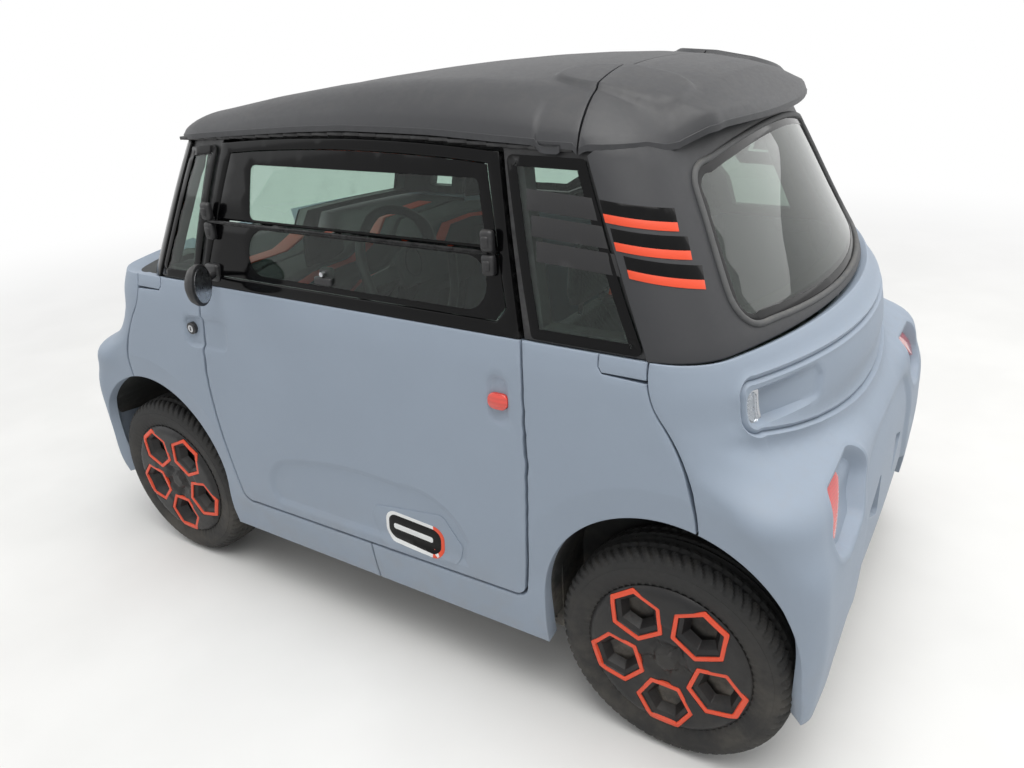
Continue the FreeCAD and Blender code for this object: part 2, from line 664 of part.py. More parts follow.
def front_suspension():
    """Left pair of arms with pin bores on the steering axis, and the spring strut above."""
    x = FRONT_AXLE_X
    y = -STEER_AXIS_Y
    pieces = []
    for pin_z, root_y in ((LOWER_PIN_Z, RAIL_Y - 10.0), (UPPER_PIN_Z, 400.0)):
        eye = rod((x, y, pin_z - ARM / 2), (x, y, pin_z + ARM / 2), 22.0)
        arm = block((x - 18.0, y, pin_z - ARM / 2), (x + 18.0, -root_y, pin_z + ARM / 2))
        bore = rod((x, y, pin_z - 30.0), (x, y, pin_z + 30.0), PIN_RADIUS + RUNNING_FIT)
        pieces.append(eye.fuse(arm).cut(bore))
    lower, upper = pieces
    strut_y = -425.0
    strut = rod((x, strut_y, UPPER_PIN_Z), (x, strut_y, 720.0), 14.0)
    spring = rod((x, strut_y, 500.0), (x, strut_y, 690.0), 34.0)
    wall_out_y = -FRONT_HOUSE_Y + 8.0
    wall_in_y = wall_out_y + 12.0
    tower = block((x - 60.0, -470.0, 720.0), (x + 60.0, wall_in_y, 732.0))
    leg = block((x - 60.0, wall_out_y, 470.0), (x + 60.0, wall_in_y, 732.0))
    brace = block((x - 20.0, wall_out_y, RAIL_TOP), (x + 20.0, wall_in_y, 500.0))
    link = block((x - 14.0, -410.0, UPPER_PIN_Z - ARM / 2), (x + 14.0, wall_out_y + 6.0, UPPER_PIN_Z + ARM / 2))
    foot = block((x - 20.0, wall_out_y, RAIL_TOP - RAIL), (x + 20.0, -RAIL_Y - RAIL / 2, RAIL_TOP + 12.0))
    upper = upper.fuse(strut).fuse(spring).fuse(tower).fuse(leg).fuse(brace).fuse(link).fuse(foot)
    return upper.fuse(lower)


SHAFT_CLEARANCE = 8.0
shaft_bore = HALF_SHAFT_RADIUS + SHAFT_CLEARANCE
shaft_space = rod((FRONT_AXLE_X, -560.0, AXLE_Z), (FRONT_AXLE_X, 0.0, AXLE_Z), shaft_bore)
suspension = front_suspension().cut(chassis_frame).cut(shaft_space)
suspension = Part.makeCompound([suspension, mirrored(suspension)])
keep("front_suspension", suspension)


def rear_axle():
    """Beam with stub axles, trailing arms and two spring struts."""
    x = REAR_AXLE_X
    beam = rod((x, -HALF_TRACK + 62.0, AXLE_Z), (x, HALF_TRACK - 62.0, AXLE_Z), 26.0)
    stubs = rod((x, -STUB_END_Y, AXLE_Z), (x, STUB_END_Y, AXLE_Z), STUB_RADIUS)
    axle = beam.fuse(stubs)
    for sign in (-1, 1):
        arm_y = sign * 430.0
        axle = axle.fuse(plate_between((x, arm_y, AXLE_Z), (600.0, arm_y, RAIL_TOP - 10.0), 40.0, 26.0))
        low, high = sorted((sign * RAIL_Y, arm_y + sign * 20.0))
        axle = axle.fuse(block((580.0, low, RAIL_TOP - RAIL + 8), (615.0, high, RAIL_TOP - 4)))
        axle = axle.fuse(rod((x, arm_y, AXLE_Z), (x, arm_y, SHELF_Z - TUB), 13.0))
        axle = axle.fuse(rod((x, arm_y, 400.0), (x, arm_y, 600.0), 34.0))
    return axle.cut(chassis_frame)


rear_beam = rear_axle()
keep("rear_axle", rear_beam)
keep("wheel_liners", cut_all(wheel_liners, [suspension, rear_beam, chassis_frame]))

# Wheels and tyres.
TYRE_PROFILE = [
    (-60.0, RIM_RADIUS), (-66.0, 196.0), (-TYRE_WIDTH / 2, 232.0), (-73.0, 258.0), (-60.0, 274.0),
    (-40.0, TYRE_RADIUS), (40.0, TYRE_RADIUS), (60.0, 274.0), (73.0, 258.0), (TYRE_WIDTH / 2, 232.0),
    (66.0, 196.0), (60.0, RIM_RADIUS),
]
RIM_PROFILE = [
    (-64.0, RIM_RADIUS), (-64.0, RIM_RADIUS - 6.0), (-40.0, 160.0), (20.0, 160.0), (30.0, 150.0),
    (30.0, 40.0), (6.0, 40.0), (6.0, STUB_RADIUS + RUNNING_FIT), (44.0, STUB_RADIUS + RUNNING_FIT),
    (44.0, 60.0), (40.0, 150.0), (56.0, RIM_RADIUS - 6.0), (60.0, RIM_RADIUS),
]
CAP_PROFILE = [
    (68.0, 168.0), (68.0, CAP_RADIUS), (71.0, CAP_RADIUS), (79.0, 182.0), (81.0, 60.0), (77.0, 0.0),
    (71.0, 0.0), (71.0, 20.0), (44.0, 20.0), (44.0, 46.0), (70.0, 46.0), (70.0, 60.0), (72.0, 168.0),
]


def hexagon(angle, size):
    """Hexagonal hole through the cap, its flat side towards the rim's edge."""
    centre = (CAP_HEX_CIRCLE * math.cos(angle), CAP_HEX_CIRCLE * math.sin(angle))
    corners = [(centre[0] + size * math.cos(angle + math.radians(30 + 60 * k)),
                centre[1] + size * math.sin(angle + math.radians(30 + 60 * k))) for k in range(6)]
    loop = [V(x, 0.0, z) for x, z in corners]
    return Part.Face(Part.makePolygon(loop + loop[:1])).extrude(V(0, -130.0, 0))


def wheel(axle_x):
    """Left wheel: rim with its disc, and a cap with hexagonal openings."""
    centre_y = -HALF_TRACK
    rim = ring_profile(RIM_PROFILE, axle_x, -1, centre_y, AXLE_Z)
    cap = ring_profile(CAP_PROFILE, axle_x, -1, centre_y, AXLE_Z)
    for k in range(CAP_OPENINGS):
        hole = hexagon(2 * math.pi * k / CAP_OPENINGS - math.pi / 2, CAP_HEX_SIZE)
        hole.translate(V(axle_x, centre_y - 60.0, AXLE_Z))
        cap = cap.cut(hole)
    return rim.fuse(cap)


def tyre(axle_x):
    return ring_profile(TYRE_PROFILE, axle_x, -1, -HALF_TRACK, AXLE_Z)


for place, axle_x in (("front", FRONT_AXLE_X), ("rear", REAR_AXLE_X)):
    left_wheel = wheel(axle_x)
    left_tyre = tyre(axle_x)
    keep("wheel_" + place + "_left", left_wheel)
    keep("wheel_" + place + "_right", mirrored(left_wheel))
    keep("tyre_" + place + "_left", left_tyre)
    keep("tyre_" + place + "_right", mirrored(left_tyre))

# Interior: dashboard shelf, steering column and wheel, two seats.
DASH_FRONT_X = TUB_FRONT_X
dash = prism_y([(DASH_FRONT_X, 700.0), (-430.0, 700.0), (-330.0, 800.0), (-330.0, 880.0), (-370.0, 900.0),
                (-380.0, 985.0), (DASH_FRONT_X, 985.0)], -575.0, 575.0)
keep("dashboard", dash)

COLUMN_TILT = math.radians(27.0)
HELM_CENTRE = (-95.0, -300.0, 985.0)
HELM_RADIUS = 172.0
HELM_RIM = 14.0


def along_column(distance):
    """Point on the steering column's axis, measured towards the driver from the wheel's centre."""
    x, y, z = HELM_CENTRE
    return (x + distance * math.cos(COLUMN_TILT), y, z + distance * math.sin(COLUMN_TILT))


column = rod(along_column(-330.0), along_column(-24.0), 30.0)
column = column.fuse(rod(along_column(-60.0), along_column(-2.0), 9.0)).cut(dash)
keep("steering_column", column)


def steering_wheel():
    """Rim with a hub and two spokes, turning on the column's spindle."""
    centre = V(*HELM_CENTRE)
    axis = V(*along_column(1.0)) - centre
    rim = Part.makeTorus(HELM_RADIUS, HELM_RIM, centre, axis)
    hub = rod(along_column(-18.0), along_column(14.0), 48.0)
    spokes = block((-9.0, -HELM_RADIUS, -20.0), (7.0, HELM_RADIUS, 20.0))
    spokes.Placement = FreeCAD.Placement(centre, FreeCAD.Rotation(V(1, 0, 0), axis))
    helm = rim.fuse(hub).fuse(spokes)
    return helm.cut(rod(along_column(-30.0), along_column(-1.0), 9.0 + RUNNING_FIT))


keep("steering_wheel", steering_wheel())

SEAT_WIDTH = 430.0
SEAT_CENTRES = (-300.0, 300.0)
SEAT_FRONT_X = 40.0
SEAT_REAR_X = 480.0
SEAT_BASE_Z = 430.0
SEAT_TOP_Z = 520.0
BACK_TOP_Z = 980.0
HEADREST_TOP_Z = 1160.0
HEADREST_WIDTH = 240.0
SEAT_BOX_SET = 20.0
SEAT_BOX_WALL = 20.0


def seat_back(y):
    """Leaning backrest with its headrest, as one closed pad."""
    half = SEAT_WIDTH / 2
    low_z = SEAT_TOP_Z + SOFT_GAP
    back = prism_y([(SEAT_REAR_X - 80.0, low_z), (SEAT_REAR_X - 10.0, low_z),
                    (SEAT_REAR_X + 50.0, BACK_TOP_Z), (SEAT_REAR_X - 10.0, BACK_TOP_Z)], y - half, y + half)
    head = prism_y([(SEAT_REAR_X - 10.0, BACK_TOP_Z), (SEAT_REAR_X + 50.0, BACK_TOP_Z),
                    (SEAT_REAR_X + 65.0, HEADREST_TOP_Z), (SEAT_REAR_X + 20.0, HEADREST_TOP_Z)],
                   y - HEADREST_WIDTH / 2, y + HEADREST_WIDTH / 2)
    return back.fuse(head)


def seat_box():
    """Hollow box that carries both cushions and covers the battery."""
    reach_y = SEAT_CENTRES[1] + SEAT_WIDTH / 2
    low = (SEAT_FRONT_X + SEAT_BOX_SET, -reach_y, battery_z)
    high = (SEAT_REAR_X + 3 * SEAT_BOX_SET, reach_y, SEAT_BASE_Z)
    wall = SEAT_BOX_WALL
    hollow = block((low[0] + wall, low[1] + wall, low[2]), (high[0] - wall, high[1] - wall, high[2] - wall))
    return block(low, high).cut(hollow).cut(PARTS["battery_block"])


cushions = []
backs = []
for y in SEAT_CENTRES:
    half = SEAT_WIDTH / 2
    cushions.append(block((SEAT_FRONT_X, y - half, SEAT_BASE_Z + SOFT_GAP), (SEAT_REAR_X, y + half, SEAT_TOP_Z)))
    backs.append(seat_back(y))
keep("seat_cushions", Part.makeCompound(cushions))
keep("seat_backs", Part.makeCompound(backs))
keep("seat_box", seat_box())


def lamp_set():
    """Lens over the outer part of each pocket in the tail moulding."""
    layer = body_solid(LENS_DEPTH).cut(body_solid(LAMP_POCKET_DEPTH))
    outer = block((900.0, -620.0, 400.0), (1300.0, -LENS_INNER_Y, 800.0))
    lens = layer.common(prism_x(POCKET, 900.0, 1300.0).common(outer))
    return Part.makeCompound([lens, mirrored(lens)])


rear_lamps = lamp_set()
keep("rear_lamps", rear_lamps)
keep("front_lamps", turned(rear_lamps))

os.makedirs("parts", exist_ok=True)
for name in sorted(PARTS):
    PARTS[name].exportStep(os.path.join("parts", name + ".step"))
    print(name, len(PARTS[name].Solids), round(PARTS[name].Volume / 1e6, 3), PARTS[name].isValid())
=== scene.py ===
import logging
import math
from collections.abc import Callable, Sequence
from dataclasses import dataclass, field
from enum import Enum

import bmesh
import bpy
import numpy as np
from mathutils import Matrix, Vector
from mathutils.geometry import delaunay_2d_cdt


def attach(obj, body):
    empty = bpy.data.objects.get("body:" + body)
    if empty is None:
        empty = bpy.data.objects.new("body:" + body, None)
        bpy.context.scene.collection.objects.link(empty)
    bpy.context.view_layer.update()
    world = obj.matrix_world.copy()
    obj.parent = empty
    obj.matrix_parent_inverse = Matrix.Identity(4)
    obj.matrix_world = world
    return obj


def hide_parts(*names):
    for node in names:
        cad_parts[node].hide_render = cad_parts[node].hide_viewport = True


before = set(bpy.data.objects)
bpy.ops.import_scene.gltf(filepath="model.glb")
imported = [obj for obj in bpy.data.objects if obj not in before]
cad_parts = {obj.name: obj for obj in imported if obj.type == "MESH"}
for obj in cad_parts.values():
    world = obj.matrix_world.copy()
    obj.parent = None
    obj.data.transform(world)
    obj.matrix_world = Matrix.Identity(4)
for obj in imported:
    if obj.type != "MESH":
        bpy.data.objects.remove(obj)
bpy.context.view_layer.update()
LOG = logging.getLogger("microcar")

Array = np.ndarray
Point = tuple[float, float, float]
Plane = tuple[float, float]

# Heights and plan outlines of the body, m. Columns: height, front length, rear length, half width, end arc
# radius, corner radius.
BODY_ROWS = (
    (0.175, 1.186, 1.186, 0.668, 14.0, 0.065),
    (0.300, 1.200, 1.200, 0.688, 14.0, 0.065),
    (0.470, 1.205, 1.205, 0.695, 14.0, 0.070),
    (0.620, 1.196, 1.196, 0.694, 8.0, 0.085),
    (0.720, 1.163, 1.163, 0.690, 4.2, 0.115),
    (0.795, 1.116, 1.116, 0.684, 2.0, 0.145),
    (0.870, 1.122, 1.122, 0.677, 1.3, 0.155),
    (0.945, 1.104, 1.104, 0.668, 1.3, 0.155),
    (1.000, 1.064, 1.064, 0.656, 1.45, 0.150),
)
CABIN_ROWS = (
    (1.000, 0.922, 1.048, 0.654, 1.50, 0.150),
    (1.130, 0.852, 0.968, 0.628, 1.50, 0.150),
    (1.260, 0.783, 0.895, 0.600, 1.45, 0.145),
    (1.390, 0.712, 0.822, 0.566, 1.40, 0.140),
    (1.540, 0.625, 0.750, 0.520, 1.40, 0.130),
)
# Roof crown, m. Columns: distance along the car, height in the middle, height at the side line.
ROOF_ROWS = (
    (-1.10, 1.335, 1.310),
    (-0.50, 1.448, 1.398),
    (0.05, 1.517, 1.414),
    (0.40, 1.525, 1.408),
    (0.70, 1.505, 1.389),
    (1.10, 1.385, 1.300),
)
ROOF_SIDE_Y = 0.560
BELT_Z = 1.000
AXLE_X = 0.865
AXLE_Z = 0.2785
HALF_TRACK = 0.585
ARCH_RADIUS = 0.300
ARCH_CENTRE_Z = 0.361
SILL_LOW_Z = 0.212
SKIRT_SIDE_Z = 0.228
PANEL_GAP = 0.004
DOOR_GAP = 0.007
PANEL_WALL = 0.040
DOOR_WALL = 0.050
FAR = 1e9


class Side(Enum):
    """Which side of the car a piece is on."""

    LEFT = "left"
    RIGHT = "right"


class End(Enum):
    """Which axle a piece belongs to."""

    FRONT = "front"
    REAR = "rear"


# Curves and outlines


def arc_through(start: Plane, middle: Plane, end: Plane, steps: int = 12) -> list[Plane]:
    """Points of the circular arc through three points, without its first point.

    Args:
        start: first point.
        middle: any point between both ends.
        end: last point.
        steps: number of points.

    Returns:
        The points after the first, the last one included.
    """
    (ax, ay), (bx, by), (cx, cy) = start, middle, end
    double = 2 * (ax * (by - cy) + bx * (cy - ay) + cx * (ay - by))
    if abs(double) < 1e-9:
        return [end]
    a2, b2, c2 = ax * ax + ay * ay, bx * bx + by * by, cx * cx + cy * cy
    ux = (a2 * (by - cy) + b2 * (cy - ay) + c2 * (ay - by)) / double
    uy = (a2 * (cx - bx) + b2 * (ax - cx) + c2 * (bx - ax)) / double
    radius = math.hypot(ax - ux, ay - uy)
    first = math.atan2(ay - uy, ax - ux)
    turn_mid = (math.atan2(by - uy, bx - ux) - first) % math.tau
    turn_end = (math.atan2(cy - uy, cx - ux) - first) % math.tau
    if turn_mid > turn_end:
        turn_end -= math.tau
    angles = [first + turn_end * k / steps for k in range(1, steps + 1)]
    return [(ux + radius * math.cos(a), uy + radius * math.sin(a)) for a in angles]


def path(steps: Sequence[tuple[float, ...]]) -> list[Plane]:
    """Open outline from corners (u, v) and arc steps (mid u, mid v, end u, end v).

    Args:
        steps: corners (u, v) and arcs (mid u, mid v, end u, end v).

    Returns:
        The points in order.
    """
    points: list[Plane] = [(steps[0][0], steps[0][1])]
    for step in steps[1:]:
        if len(step) == 4:
            points += arc_through(points[-1], (step[0], step[1]), (step[2], step[3]))
        else:
            points.append((step[0], step[1]))
    return points


def resample(points: Array, step: float) -> Array:
    """Closed outline with extra points, so that none are further apart than the step; corners stay.

    Args:
        points: places, one per row.
        step: largest spacing.

    Returns:
        The outline with its added points.
    """
    out = []
    for here, there in zip(points, np.roll(points, -1, axis=0)):
        count = max(1, int(math.ceil(float(np.linalg.norm(there - here)) / step)))
        for k in range(count):
            out.append(here + (there - here) * k / count)
    return np.array(out)


def tidy_loop(points: Array, closest: float = 0.0008) -> Array:
    """The outline without points that lie on their neighbours.

    Args:
        points: places, one per row.
        closest: least distance kept between neighbours.

    Returns:
        The points that stay.
    """
    kept = [points[0]]
    for point in points[1:]:
        if np.linalg.norm(point - kept[-1]) > closest:
            kept.append(point)
    if np.linalg.norm(kept[-1] - kept[0]) <= closest:
        kept.pop()
    return np.array(kept)


def loop_area(points: Array) -> float:
    """Signed area inside a closed outline, positive when it runs anticlockwise."""
    nxt = np.roll(points, -1, axis=0)
    return float(np.sum(points[:, 0] * nxt[:, 1] - nxt[:, 0] * points[:, 1]) / 2)


def loop_normals(points: Array) -> Array:
    """Unit normals of a closed outline, pointing to its right-hand side, which is outward if anticlockwise.

    Args:
        points: corners of the outline in order.

    Returns:
        One unit normal for each corner.
    """
    ahead = np.roll(points, -1, axis=0) - points
    behind = points - np.roll(points, 1, axis=0)
    ahead /= np.maximum(np.linalg.norm(ahead, axis=1, keepdims=True), 1e-9)
    behind /= np.maximum(np.linalg.norm(behind, axis=1, keepdims=True), 1e-9)
    along = ahead + behind
    along /= np.maximum(np.linalg.norm(along, axis=1, keepdims=True), 1e-9)
    return np.stack([along[:, 1], -along[:, 0]], axis=1)


def rounded(corners: Sequence[Plane], radius: float, steps: int = 6) -> list[Plane]:
    """Closed outline whose corners are rounded with one radius, cut down where a side is short.

    Args:
        corners: corners in order.
        radius: rounding, m.
        steps: points in each rounding.

    Returns:
        The outline's points.
    """
    points: list[Plane] = []
    count = len(corners)
    for i, corner in enumerate(corners):
        here = np.array(corner)
        before = np.array(corners[i - 1]) - here
        after = np.array(corners[(i + 1) % count]) - here
        len_b, len_a = np.linalg.norm(before), np.linalg.norm(after)
        before, after = before / len_b, after / len_a
        half = math.acos(max(-1.0, min(1.0, float(before @ after)))) / 2
        reach = min(radius / math.tan(half), 0.48 * len_b, 0.48 * len_a)
        start, end = here + before * reach, here + after * reach
        bend = reach * math.tan(half)
        centre = here + (before + after) / np.linalg.norm(before + after) * bend / math.sin(half)
        out = here - centre
        middle = centre + out / np.linalg.norm(out) * bend
        points.append((float(start[0]), float(start[1])))
        points += arc_through(tuple(start), tuple(middle), tuple(end), steps)
    return points


def inside(points: Array, loop: Array) -> Array:
    """True for each point that lies inside the closed outline.

    Args:
        points: places, one per row.
        loop: closed outline.

    Returns:
        One truth value for each point.
    """
    x, y = points[:, 0:1], points[:, 1:2]
    x0, y0 = loop[:, 0], loop[:, 1]
    x1, y1 = np.roll(x0, -1), np.roll(y0, -1)
    crosses = (y0 > y) != (y1 > y)
    rise = np.where(np.abs(y1 - y0) < 1e-12, 1e-12, y1 - y0)
    at = x0 + (y - y0) * (x1 - x0) / rise
    return (np.sum(crosses & (x < at), axis=1) % 2) == 1


def within(points: Array, loops: list[Array]) -> Array:
    """True for each point that lies in the first outline and in none of its holes.

    Args:
        points: places, one per row.
        loops: outer outline first, then its holes.

    Returns:
        One truth value for each point.
    """
    keep = inside(points, loops[0])
    for hole in loops[1:]:
        keep &= ~inside(points, hole)
    return keep


def to_edge(points: Array, start: Array, end: Array) -> tuple[Array, Array]:
    """Distance of each point from a straight edge, and its share of the way along the edge.

    Args:
        points: places, one per row.
        start: first point.
        end: last point.

    Returns:
        The distances, and the shares as a column.
    """
    way = end - start
    t = np.clip(((points - start) @ way) / max(float(way @ way), 1e-12), 0, 1)[:, None]
    return np.linalg.norm(points - (start + t * way), axis=1), t


def distance_to_loop(points: Array, loop: Array) -> Array:
    """Distance of each point from a closed outline.

    Args:
        points: places, one per row.
        loop: closed outline.

    Returns:
        One distance for each point.
    """
    best = np.full(len(points), FAR)
    for start, end in zip(loop, np.roll(loop, -1, axis=0)):
        best = np.minimum(best, to_edge(points, start, end)[0])
    return best


def ramp(value: Array, low: float, high: float) -> Array:
    """Smooth step from 0 at low to 1 at high."""
    t = np.clip((value - low) / (high - low), 0, 1)
    return t * t * (3 - 2 * t)


# Surfaces


def smooth_rows(stations: Array, values: Array, at: Array) -> Array:
    """Rows of a table at the given stations, with smooth lines between its own rows.

    Args:
        stations: the table's own stations.
        values: the table's rows.
        at: wanted stations.

    Returns:
        One row for each wanted station.
    """
    slopes = np.gradient(values, stations, axis=0)
    i = np.clip(np.searchsorted(stations, at) - 1, 0, len(stations) - 2)
    h = stations[i + 1] - stations[i]
    t = ((at - stations[i]) / h)[:, None]
    h = h[:, None]
    return ((2 * t**3 - 3 * t**2 + 1) * values[i] + (t**3 - 2 * t**2 + t) * h * slopes[i]
            + (3 * t**2 - 2 * t**3) * values[i + 1] + (t**3 - t**2) * h * slopes[i + 1])


class Skin:
    """Surface over two coordinates, whose normals come from points close by."""

    reach = 0.0015

    def normal(self, u: Array, v: Array) -> Array:
        """Outward unit normals.

        Args:
            u: first coordinates.
            v: second coordinates.

        Returns:
            One unit normal for each place.
        """
        along = self.point(u + self.reach, v) - self.point(u - self.reach, v)
        up = self.point(u, v + self.reach) - self.point(u, v - self.reach)
        n = np.cross(along, up)
        return n / np.linalg.norm(n, axis=1, keepdims=True)


class LoftSkin(Skin):
    """Rounded plan outlines stacked over height, with smooth lines between them.

    A place on it is a pair: a distance s along the outline, from 0 at the middle of the left side to the end's
    middle at the length and round to the right side, negative towards the front, and a height z.
    """

    def __init__(self, rows: tuple[tuple[float, ...], ...], side: float, corner: float, end: float) -> None:
        """Takes the sections and the nominal lengths of side, corner and end.

        Args:
            rows: table of sections.
            side: length of the side.
            corner: length of the corner.
            end: length of half the end.
        """
        table = np.array(rows)
        self.heights = table[:, 0]
        self.values = table[:, 1:].copy()
        self.values[:, 3] = 1 / self.values[:, 3]
        self.side = side
        self.corner = corner
        self.end = end
        self.length = side + corner + end

    def section(self, z: Array) -> Array:
        """Front, rear, half width, end curvature and corner radius at each height."""
        return smooth_rows(self.heights, self.values, np.clip(z, self.heights[0], self.heights[-1]))

    def shape(self, z: Array, front: Array, inset: float = 0.0) -> tuple[Array, ...]:
        """Corner and end arc of the outline at each height, for its front or rear end.

        Args:
            z: heights.
            front: which places are on the front end.
            inset: how far inside the skin.

        Returns:
            Width, end radius, corner radius, arc centre, corner centre and angle.
        """
        row = self.section(z)
        length = np.where(front, row[:, 0], row[:, 1]) - inset
        width = row[:, 2] - inset
        radius = 1 / row[:, 3] - inset
        corner = row[:, 4] - inset
        centre = length - radius
        edge_y = width - corner
        corner_x = centre + np.sqrt((radius - corner) ** 2 - edge_y**2)
        angle = np.arctan2(edge_y, corner_x - centre)
        return width, radius, corner, centre, edge_y, corner_x, angle

    def point(self, s: Array, z: Array, inset: float = 0.0) -> Array:
        """Points on the skin, drawn in by the inset in plan.

        Args:
            s: distances along the outline.
            z: heights.
            inset: how far inside the skin.

        Returns:
            One point for each place.
        """
        s, z = np.asarray(s, float), np.asarray(z, float)
        far = np.abs(s) > self.length
        a = np.where(far, 2 * self.length - np.abs(s), np.abs(s))
        width, radius, corner, centre, edge_y, corner_x, angle = self.shape(z, s < 0, inset)
        u1 = np.clip(a / self.side, -0.3, 1)
        u2 = np.clip((a - self.side) / self.corner, 0, 1)
        u3 = np.clip((a - self.side - self.corner) / self.end, 0, 1)
        theta = math.pi / 2 - u2 * (math.pi / 2 - angle)
        phi = angle * (1 - u3)
        on_side, on_corner = a < self.side, a < self.side + self.corner
        x = np.where(on_side, u1 * corner_x,
                     np.where(on_corner, corner_x + corner * np.cos(theta), centre + radius * np.cos(phi)))
        y = np.where(on_side, width, np.where(on_corner, edge_y + corner * np.sin(theta), radius * np.sin(phi)))
        return np.stack([np.where(s < 0, -x, x), np.where(far, y, -y), z], axis=1)

    def s_of_x(self, x: Array, z: Array) -> Array:
        """Distance along the outline of left-side points given by x and height.

        Args:
            x: places along the car.
            z: heights.

        Returns:
            One distance for each point.
        """
        x, z = np.asarray(x, float), np.asarray(z, float)
        _, _, corner, _, _, corner_x, angle = self.shape(z, x < 0)
        a = np.abs(x)
        theta = np.arccos(np.clip((a - corner_x) / corner, 0, 1))
        u2 = (math.pi / 2 - theta) / (math.pi / 2 - angle)
        s = np.where(a <= corner_x, a / corner_x * self.side, self.side + u2 * self.corner)
        return np.where(x < 0, -s, s)

    def s_of_y(self, y: Array, z: Array, front: bool = False) -> Array:
        """Distance along the outline of end points given by y and height.

        Args:
            y: places across the car.
            z: heights.
            front: whether the front end is meant.

        Returns:
            One distance for each point.
        """
        y, z = np.asarray(y, float), np.asarray(z, float)
        _, radius, corner, _, edge_y, _, angle = self.shape(z, np.full(len(z), front))
        a = np.abs(y)
        on_end = self.side + self.corner + (1 - np.arcsin(np.clip(a / radius, 0, 1)) / angle) * self.end
        theta = np.arcsin(np.clip((a - edge_y) / corner, 0, 1))
        on_corner = self.side + (math.pi / 2 - theta) / (math.pi / 2 - angle) * self.corner
        s = np.where(a <= radius * np.sin(angle), on_end, on_corner)
        s = np.where(y > 0, 2 * self.length - s, s)
        return -s if front else s


def crown_height(x: Array, y: Array) -> Array:
    """Height of the solids' roof crown over plan coordinates x and y.

    Args:
        x: places along the car.
        y: places across the car.

    Returns:
        One height for each place.
    """
    table = np.array(ROOF_ROWS)
    row = smooth_rows(table[:, 0], table[:, 1:], x)
    fall = row[:, 0] - row[:, 1]
    across = (ROOF_SIDE_Y**2 + fall**2) / (2 * fall)
    return row[:, 0] - (across - np.sqrt(across**2 - y**2))


BODY = LoftSkin(BODY_ROWS, 1.05, 0.14, 0.58)
CABIN = LoftSkin(CABIN_ROWS, 0.70, 0.19, 0.52)


